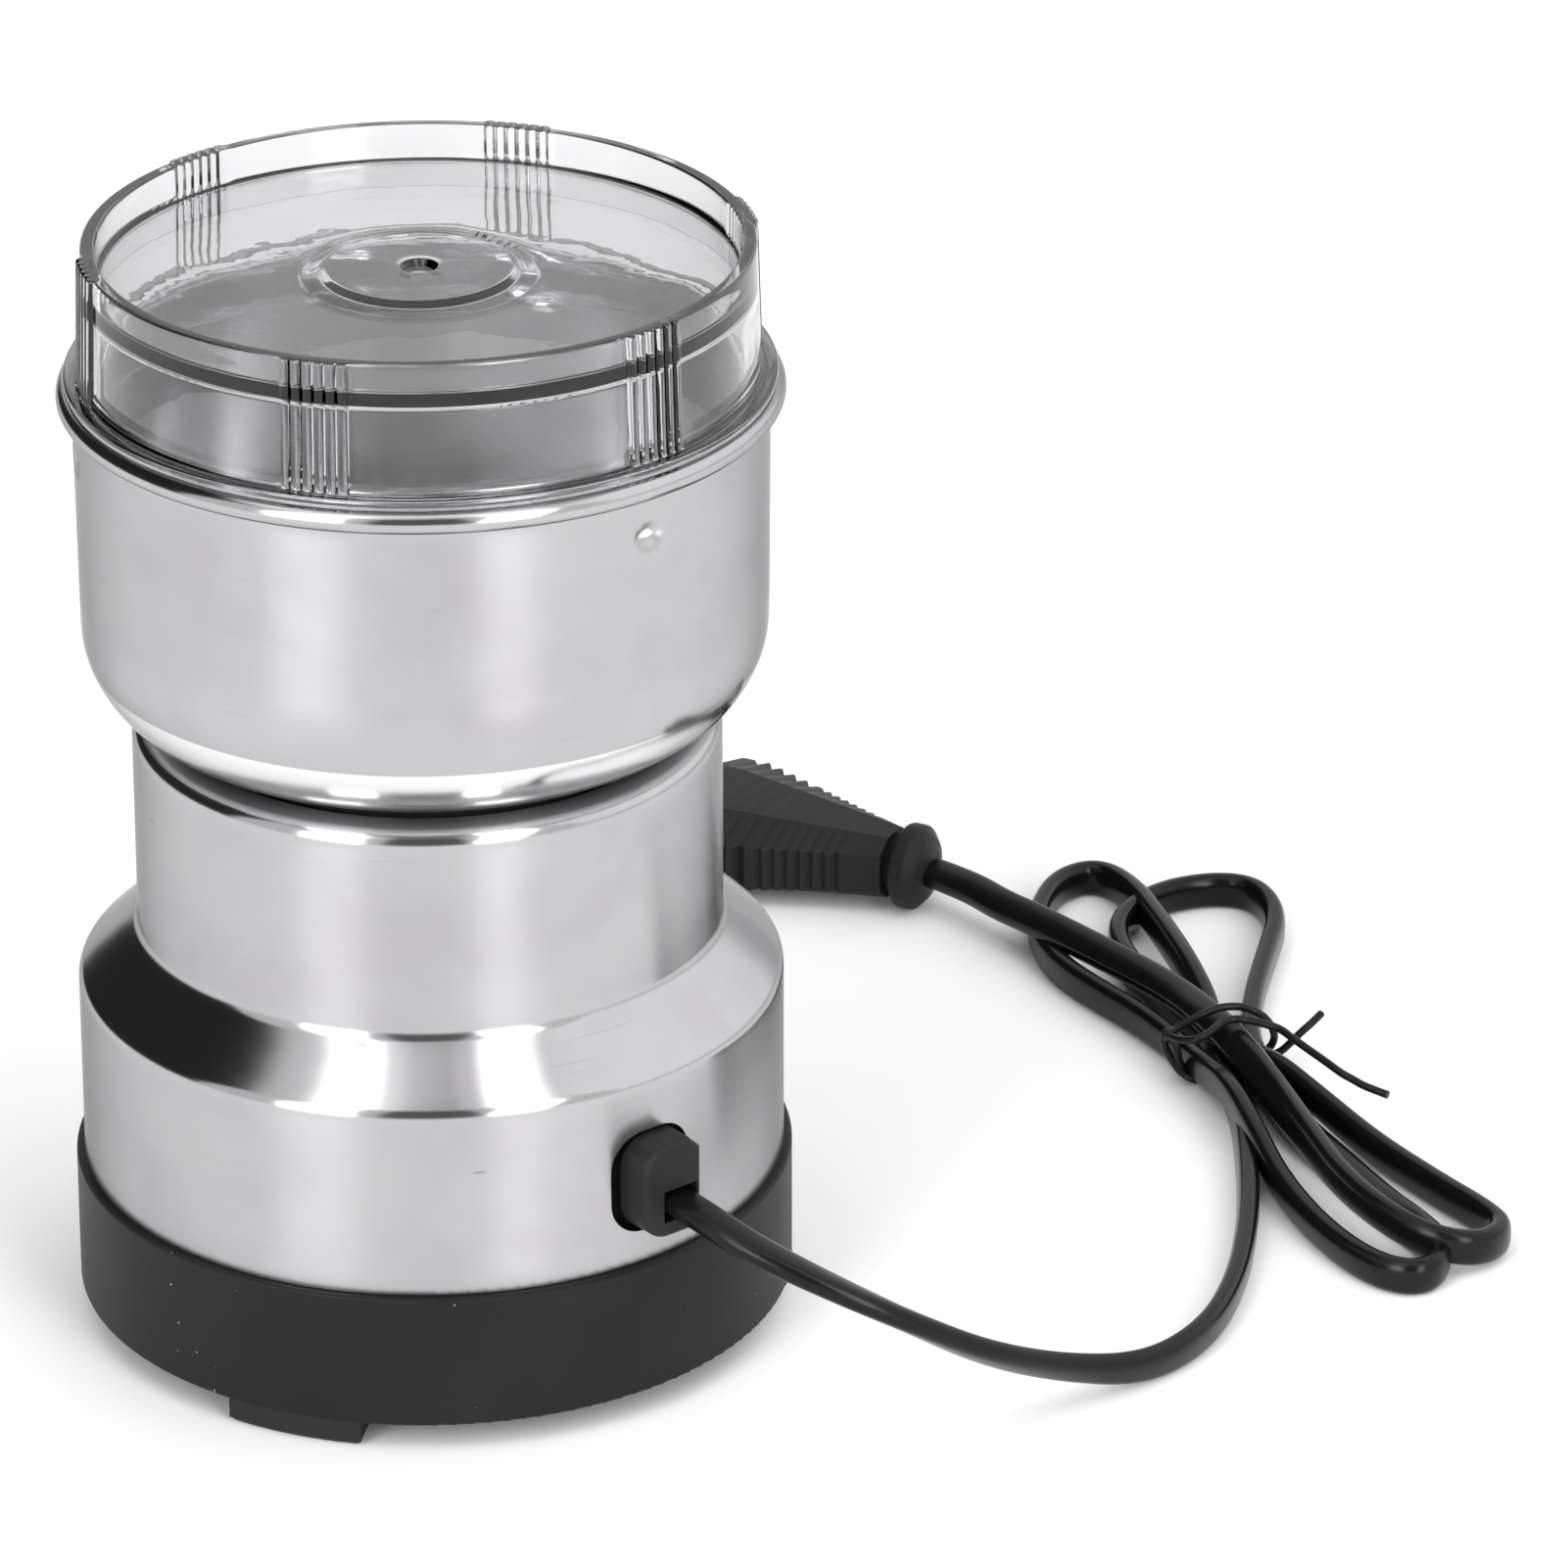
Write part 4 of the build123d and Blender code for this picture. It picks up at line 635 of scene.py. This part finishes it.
def buildHousing():
    h = housing
    wall, bend = h["wall"], h["bend"]
    slope = math.atan2(h["coneTop"] - h["edge"], h["drumRadius"] - h["neckRadius"])
    lean = wall * math.tan((math.pi / 2 - slope) / 2)
    corners = [
        (h["drumRadius"], h["bottom"], 0.25),
        (h["drumRadius"], h["edge"], bend),
        (h["neckRadius"], h["coneTop"], bend),
        (h["neckRadius"], h["neckTop"], bend),
        (h["mouthRadius"], h["neckTop"], h["mouthBend"]),
        (h["mouthRadius"], h["neckTop"] - h["mouthDepth"], 0.15),
        (h["mouthRadius"] + wall, h["neckTop"] - h["mouthDepth"], 0.15),
        (h["mouthRadius"] + wall, h["neckTop"] - wall, 0.3),
        (h["neckRadius"] - wall, h["neckTop"] - wall, bend - wall),
        (h["neckRadius"] - wall, h["coneTop"] - lean, bend + wall),
        (h["drumRadius"] - wall, h["edge"] - lean, bend - wall),
        (h["drumRadius"] - wall, h["bottom"], 0.25),
    ]
    outline = rounded(corners, longest=3.0)
    points, faces = turned(outline, spread(360 / h["steps"]))
    piece = makePiece("housingShell", points, faces, "brushed_steel", "housing", ["housing_shell"])
    cutWindow(piece, h["window"])


buildHousing()
print("housing turned")


# cup with its rolled rim and three pressed dimples
cup = {
    "bottom": 93.8,
    "corner": 14.8,
    "radiusLow": 49.15,
    "radiusHigh": 49.5,
    "wall": 0.8,
    "hole": 5.05,
    "beadHeight": 143.05,
    "beadRadius": 50.1,
    "beadWire": 1.6,
    "beadFrom": -112.0,  # the bead rolls between these angles
    "beadTo": 205.0,
    "beadSteps": 40,
    "dimples": (41.5, 161.5, 281.5),
    "dimpleHeight": 135.6,
    "dimpleHalf": (3.1, 1.9),
    "dimpleDepth": 0.95,
    "dimpleLip": 0.08,
}


def cupShift(radius, height, bearing):
    # presses the dimples in, each with a low lip round it
    c = cup
    if radius < 40 or abs(height - c["dimpleHeight"]) > 6:
        return radius, height
    for dimple in c["dimples"]:
        apart = (bearing - dimple + 180) % 360 - 180
        across = math.radians(apart) * radius
        reach = math.hypot(across / c["dimpleHalf"][0], (height - c["dimpleHeight"]) / c["dimpleHalf"][1])
        if reach < 1.6:
            radius -= c["dimpleDepth"] * math.exp(-(reach * 1.25) ** 4)
            radius += c["dimpleLip"] * math.exp(-((reach - 1.15) * 5) ** 2)
    return radius, height


def buildCup():
    c = cup
    wall = c["wall"]
    bead = []
    for step in range(c["beadSteps"] + 1):
        turn = math.radians(c["beadFrom"] + (c["beadTo"] - c["beadFrom"]) * step / c["beadSteps"])
        bead.append((c["beadRadius"] + c["beadWire"] * math.cos(turn),
                     c["beadHeight"] + c["beadWire"] * math.sin(turn), 0))
    corners = [
        (c["hole"], c["bottom"], 0.1),
        (c["radiusLow"], c["bottom"], c["corner"]),
        (c["radiusHigh"], c["beadHeight"] - c["beadWire"], 0),
        *bead,
        (c["radiusHigh"] - wall, c["beadHeight"] - 1.2, 0),
        (c["radiusLow"] - wall, c["bottom"] + wall, c["corner"] - wall),
        (c["hole"], c["bottom"] + wall, 0.1),
    ]
    outline = rounded(corners, longest=1.0)
    bearings = spread(1.0, c["dimples"], 6.0, 0.25)
    points, faces = turned(outline, bearings, cupShift)
    makePiece("cupShell", points, faces, "brushed_steel", "bowl", ["bowl_shell"], 60.0)


buildCup()
print("cup turned")


# clear lid with six groups of grip ribs
lidShape = {
    "seat": 144.85,
    "flange": 50.6,
    "flangeThick": 1.4,
    "wallBottom": 48.2,
    "wallTop": 47.6,
    "top": 165.2,
    "inner": 45.6,
    "floorTop": 160.2,
    "floorUnder": 158.4,
    "dome": 16.4,
    "domeFlat": 14.0,
    "domeRise": 0.9,
    "gate": 2.7,
    "gateDeep": 0.9,
    "spigotOuter": 48.1,
    "spigotInner": 46.1,
    "spigotBottom": 138.2,
    "firstGroup": -15.5,
    "groups": 6,
    "ribs": 6,
    "pitch": 1.65,
    "ribRadius": 0.82,
    "ribSink": 0.08,  # the ribs start this deep in the wall
    "waves": ((0.045, 0.11), (0.13, 0.025)),  # waves over the floor: per mm, and height
    "waveRadius": 44.0,
    "waveLayers": (3.1, 8.4),  # where the waves of the floor's top and underside are read
}


def ribRise(bearing, radius):
    s = lidShape
    group = (bearing - s["firstGroup"] + 180 / s["groups"]) % (360 / s["groups"]) - 180 / s["groups"]
    along = math.radians(group) * radius
    best = 0.0
    for rib in range(s["ribs"]):
        apart = abs(along - (rib - (s["ribs"] - 1) / 2) * s["pitch"])
        if apart < s["ribRadius"]:
            best = max(best, math.sqrt(s["ribRadius"] ** 2 - apart**2))
    return best


def lidShift(radius, height, bearing):
    # puts the ribs on the wall and the waves in the floor
    s = lidShape
    wallFoot = s["seat"] + s["flangeThick"]
    if s["wallTop"] - 0.35 < radius < s["wallBottom"] + 0.2 and height > wallFoot - 0.02:
        radius += max(0.0, ribRise(bearing, radius) - s["ribSink"])
    elif radius < s["waveRadius"] and height > s["floorUnder"] - 0.1:
        layer = s["waveLayers"][0] if height > s["floorTop"] - 0.7 else s["waveLayers"][1]
        for share, rise in s["waves"]:
            spot = around(bearing, radius) * share
            height += rise * noise.noise(Vector((spot.x, spot.y, layer)))
    return radius, height


def buildLid():
    s = lidShape
    domeUnder = s["floorUnder"] + s["domeRise"] - 0.2
    domeTop = s["floorTop"] + s["domeRise"]
    corners = [
        (0.0, domeUnder, 0),
        (s["domeFlat"], domeUnder, 1.6),
        (s["dome"], s["floorUnder"], 1.6),
        (s["inner"], s["floorUnder"], 0.8),
        (s["spigotInner"], s["spigotBottom"], 0.3),
        (s["spigotOuter"], s["spigotBottom"], 0.3),
        (s["spigotOuter"], s["seat"], 0.2),
        (s["flange"], s["seat"], 0.3),
        (s["flange"], s["seat"] + s["flangeThick"], 0.4),
        (s["wallBottom"], s["seat"] + s["flangeThick"], 0.5),
        (s["wallTop"], s["top"], 0.45),
        (s["inner"], s["top"], 0.45),
        (s["inner"] - 0.1, s["floorTop"], 1.0),
        (s["dome"] + 0.8, s["floorTop"], 2.0),
        (s["domeFlat"] - 0.8, domeTop, 2.0),
        (s["gate"], domeTop, 0.3),
        (s["gate"] - 0.8, domeTop - s["gateDeep"], 0.3),
        (0.0, domeTop - s["gateDeep"] + 0.15, 0),
    ]
    outline = rounded(corners, arcStep=0.12, longest=1.6)
    centres = [s["firstGroup"] + 360 / s["groups"] * g for g in range(s["groups"])]
    bearings = spread(1.0, centres, 6.0, 0.11)
    points, faces = turned(outline, bearings, lidShift)
    piece = makePiece("clearLid", points, faces, "clear_plastic", "lid", ["lid"], 50.0)
    dropLoose(piece)


buildLid()
print("lid turned")


# mains lead: one smooth line from the gland, through the tied bunch, to the plug.
# each row is x, y, height and the twist of the flat lead, 0 lying flat and 90 on its edge
lead = {
    "width": 5.5,
    "thick": 3.4,
    "length": 0.87,
    "exit": (0.0348, -0.0404, 0.035),
    "floor": 0.05,  # nothing of it goes lower
    "square": 0.72,  # below 1 the two-core section is squarer than an ellipse
    "around": 24,
    "fine": 10,
    "route": [
        (34.8, -40.4, 35.0, 0), (39.8, -46.6, 34.8, 0), (46.5, -51.6, 32.4, 2), (56.5, -54.4, 28.3, 8),
        (68.0, -53.5, 22.0, 16), (80.0, -47.5, 13.2, 28), (91.5, -39.0, 6.2, 45), (103.5, -33.2, 2.9, 70),
        (112.6, -22.8, 2.8, 82), (117.8, -7.5, 2.8, 86), (120.6, 12.0, 2.8, 86), (121.4, 31.0, 2.8, 86),
        (121.2, 52.0, 2.8, 86),
        (117.6, 68.0, 2.85, 86), (118.0, 81.0, 3.6, 84), (115.2, 93.5, 5.2, 82), (111.6, 109.5, 4.6, 84),
        (107.8, 125.5, 3.4, 88), (102.4, 134.6, 2.9, 90), (95.6, 130.8, 2.9, 90), (92.0, 120.0, 2.9, 90),
        (91.7, 109.5, 2.9, 88), (95.0, 99.0, 2.9, 86), (100.4, 90.5, 2.9, 84), (107.0, 81.5, 2.9, 84),
        (113.0, 70.5, 2.9, 84), (116.4, 62.0, 3.6, 84), (119.6, 51.0, 5.8, 84), (122.6, 38.0, 5.2, 84),
        (126.2, 23.5, 3.2, 86), (132.2, 7.5, 2.9, 88), (139.2, -3.2, 2.9, 90), (146.0, -5.2, 2.9, 90),
        (149.4, 2.0, 2.9, 84), (146.5, 10.8, 2.4, 50), (141.5, 20.7, 1.8, 12), (135.0, 34.8, 1.8, 8),
        (129.0, 47.0, 1.9, 20), (125.4, 60.0, 2.6, 60),
        (123.6, 70.0, 2.9, 84), (124.0, 80.5, 2.9, 86), (125.3, 91.0, 2.9, 86), (127.8, 104.0, 2.9, 88),
        (130.3, 117.0, 2.9, 90), (127.4, 127.5, 2.9, 90), (120.2, 129.3, 2.9, 90), (111.2, 125.5, 2.9, 90),
        (104.9, 116.5, 2.9, 90), (104.3, 106.5, 2.9, 88), (108.0, 95.0, 2.9, 86), (113.5, 82.0, 2.9, 80),
        (120.6, 69.5, 3.4, 70), (127.0, 60.0, 5.6, 66),
        (132.6, 50.4, 4.6, 78), (140.5, 37.6, 3.0, 84), (149.2, 24.2, 2.9, 88), (156.4, 14.2, 2.9, 90),
        (158.6, 8.2, 3.2, 90), (154.4, 2.0, 4.0, 92), (147.6, 1.6, 5.2, 94),
        (141.2, 7.0, 6.3, 94), (135.2, 18.2, 6.5, 90), (130.8, 32.2, 6.7, 80), (126.0, 48.5, 6.9, 58),
        (121.6, 62.0, 7.4, 30), (117.0, 73.5, 7.4, 18),
        (111.6, 85.0, 6.6, 20), (100.3, 99.0, 6.6, 22), (91.0, 110.0, 6.6, 24), (86.0, 115.0, 6.6, 24),
        (81.0, 122.2, 6.6, 20), (74.93, 127.43, 6.6, 16),
    ],
}


def splineOf(name, points, fine):
    # the bare smooth line of a few given points
    curve = bpy.data.curves.new(name, "CURVE")
    curve.dimensions = "3D"
    curve.resolution_u = fine
    line = curve.splines.new("NURBS")
    line.points.add(len(points) - 1)
    for target, point in zip(line.points, points):
        target.co = (*point, 1.0)
    line.order_u = 3
    line.use_endpoint_u = True
    line.resolution_u = fine
    return bpy.data.objects.new(name, curve)


def pointsOn(name, points, fine):
    bare = splineOf(name, points, fine)
    mesh = bpy.data.meshes.new_from_object(bare)
    found = [v.co.copy() for v in mesh.vertices]
    bpy.data.meshes.remove(mesh)
    bpy.data.objects.remove(bare)
    return found


def flatSection():
    # the flat two-core section, as offsets across and up
    section = []
    for step in range(lead["around"]):
        turn = 2 * math.pi * step / lead["around"]
        side, up = math.cos(turn), math.sin(turn)
        section.append((lead["width"] / 2 * math.copysign(abs(side) ** lead["square"], side),
                        lead["thick"] / 2 * math.copysign(abs(up) ** lead["square"], up)))
    return section


def buildLead():
    line = pointsOn("leadLine", [Vector(p[:3]) * mm for p in lead["route"]], lead["fine"])
    twists = pointsOn("leadTwist", [Vector((p[3] * mm, i * mm, 0)) for i, p in enumerate(lead["route"])],
                      lead["fine"])
    section = flatSection()
    points = []
    last = len(line) - 1
    for i, here in enumerate(line):
        ahead = (line[min(i + 1, last)] - line[max(i - 1, 0)]).normalized()
        side = ahead.cross(Vector((0, 0, 1))).normalized()
        up = side.cross(ahead)
        twist = math.radians(twists[i].x / mm)
        wide = side * math.cos(twist) + up * math.sin(twist)
        thin = up * math.cos(twist) - side * math.sin(twist)
        for across, rise in section:
            point = here / mm + wide * across + thin * rise
            point.z = max(point.z, lead["floor"])
            points.append(point)
    piece = makePiece("mainsLead", points, tubeFaces(len(line), len(section)), "cord_pvc", "housing",
                      ["cord_lead", "cord_hank", "cord_tail"], 60.0)
    return piece, line


leadPiece, leadLine = buildLead()
print("lead laid:", len(leadLine), "points")


# plug: an eight-sided body with toothed edges, and a collar
plug = {
    "place": (71.8, 129.0, 7.0),
    "heading": 153.3,
    "front": 3.0,
    "back": 34.0,
    "end": 40.0,
    "flat": (2.4, 7.5),
    "wide": (5.5, 17.5),
    "high": (5.3, 6.85),
    "shoulder": (3.2, 3.9),
    "toothSmall": {"from": 9.0, "to": 22.4, "count": 7, "deep": 0.8},
    "toothLarge": {"from": 23.0, "to": 37.0, "count": 5, "deep": 1.5},
    "endRounding": 0.8,
    "softEdge": 0.1,
    "softFrom": 20.0,  # edges that bend by more degrees than this are softened
}


def plugPoint(along, across, up):
    turn = math.radians(plug["heading"])
    x, y, z = plug["place"]
    return Vector((x + along * math.cos(turn) - across * math.sin(turn),
                   y + along * math.sin(turn) + across * math.cos(turn), z + up))


def plugStations():
    # distance along the plug and how far the toothed edges are cut in there
    stations = [(plug["front"], 0.0)]
    for teeth in (plug["toothSmall"], plug["toothLarge"]):
        pitch = (teeth["to"] - teeth["from"]) / teeth["count"]
        for i in range(teeth["count"]):
            start = teeth["from"] + i * pitch
            stations += [(start, 0.0), (start + pitch * 0.12, 0.0), (start + pitch * 0.56, teeth["deep"])]
        stations.append((teeth["to"], 0.0))
    stations += [(plug["end"] - plug["endRounding"], 0.0), (plug["end"], 0.0)]
    return stations


def buildPlug():
    points = []
    stations = plugStations()
    for index, (along, cut) in enumerate(stations):
        part = min(1.0, (along - plug["front"]) / (plug["back"] - plug["front"]))
        flat, wide, high, shoulder = (
            low + (top - low) * part
            for low, top in (plug["flat"], plug["wide"], plug["high"], plug["shoulder"]))
        if index == len(stations) - 1:
            flat, wide, high, shoulder = flat - 0.5, wide - 0.7, high - 0.6, shoulder - 0.3
        wide -= cut
        ring = ((flat, high), (wide, shoulder), (wide, -shoulder), (flat, -high),
                (-flat, -high), (-wide, -shoulder), (-wide, shoulder), (-flat, high))
        points += [plugPoint(along, across, up) for across, up in ring]
    body = makePiece("plugBody", points, tubeFaces(len(stations), len(ring)), "plug_plastic", "housing",
                     ["plug_body"], 14.0)
    softenEdges(body, plug["softEdge"], plug["softFrom"])
    return body


collar = {
    # distance from the plug's axis, distance along it, and fillet
    "outline": [(0, -3.5, 0), (3.4, -3.5, 0.5), (5.2, -3.0, 0.8), (6.95, -1.5, 0.9), (6.95, 0.9, 0.9),
                (4.7, 2.3, 0.8), (4.6, 3.6, 0.2), (0, 3.6, 0)],
    "steps": 64,
}


def onPlugAxis(bearing, radius, along):
    turn = math.radians(bearing)
    return plugPoint(along, radius * math.cos(turn), radius * math.sin(turn))


def buildCollar():
    outline = rounded(collar["outline"], longest=2.0)
    bearings = [360 * step / collar["steps"] for step in range(collar["steps"])]
    points, faces = turned(outline, bearings, put=onPlugAxis)
    piece = makePiece("plugCollar", points, faces, "plug_plastic", "housing", (), 50.0)
    dropLoose(piece)
    return piece


plugPiece = buildPlug()
collarPiece = buildCollar()
print("plug built")


# tie: a coated wire, twice round the bunch, knotted on the left
tie = {
    "wire": 0.62,  # radius of the coated wire
    "around": 14,
    "fine": 8,
    "route": [
        (134.7, 74.2, 7.4), (133.2, 72.2, 6.8), (131.5, 71.4, 5.6), (129.7, 71.6, 3.4), (128.2, 72.6, 1.3),
        (123.8, 71.4, 0.75), (117.6, 67.6, 0.75), (113.6, 65.6, 1.4), (112.2, 64.4, 4.0), (112.0, 64.2, 6.6),
        (110.9, 65.2, 8.2), (111.4, 67.4, 7.9), (113.4, 67.8, 8.9), (116.2, 68.4, 10.3),
        (118.6, 69.7, 10.7), (121.5, 70.4, 10.6), (123.8, 70.1, 10.1), (125.9, 70.4, 8.6),
        (127.2, 71.6, 6.0), (127.6, 73.6, 3.0), (126.0, 73.4, 0.8), (120.6, 67.4, 0.75),
        (115.4, 63.6, 0.75), (112.6, 64.8, 1.8), (111.0, 65.3, 4.2), (109.9, 65.4, 6.5),
        (110.3, 64.4, 8.6), (112.4, 61.6, 8.9), (115.2, 60.0, 10.0), (117.2, 61.9, 10.5),
        (118.6, 64.4, 10.7), (120.6, 65.5, 10.8), (122.8, 65.2, 10.8), (125.4, 63.7, 10.8),
        (127.7, 62.7, 10.5), (129.4, 60.3, 10.1), (131.2, 58.5, 9.5), (134.8, 54.5, 8.5),
        (136.6, 52.5, 7.9), (138.4, 51.3, 7.4), (140.1, 49.7, 7.0), (143.5, 47.7, 6.6),
    ],
    "knot": [
        (109.9, 65.0, 7.1), (109.9, 64.7, 8.5), (111.1, 65.0, 9.0), (111.6, 65.9, 8.0),
        (110.9, 66.2, 7.0), (109.9, 65.6, 7.5), (110.2, 65.2, 8.9), (111.4, 65.8, 8.5),
    ],
}


def buildWire(name, route, replaced=()):
    line = pointsOn(name + "Line", [Vector(p) * mm for p in route], tie["fine"])
    points = []
    last = len(line) - 1
    up = Vector((0, 0, 1))
    for i, here in enumerate(line):
        ahead = (line[min(i + 1, last)] - line[max(i - 1, 0)]).normalized()
        side = ahead.cross(up).normalized()
        up = side.cross(ahead).normalized()
        for j in range(tie["around"]):
            turn = 2 * math.pi * j / tie["around"]
            points.append(here / mm + (side * math.cos(turn) + up * math.sin(turn)) * tie["wire"])
    return makePiece(name, points, tubeFaces(len(line), tie["around"]), "tie_wire", "housing", replaced)


tiePiece = buildWire("wireTie", tie["route"], ["cord_tie"])
knotPiece = buildWire("tieKnot", tie["knot"])
print("tie wound")


# small edge rounding on the solids that stay as they are
softSolids = {"cord_gland": 0.35, "rubber_feet": 0.3}
for name, width in softSolids.items():
    softenEdges(nodes[name], width, 35.0)
print("edges softened")
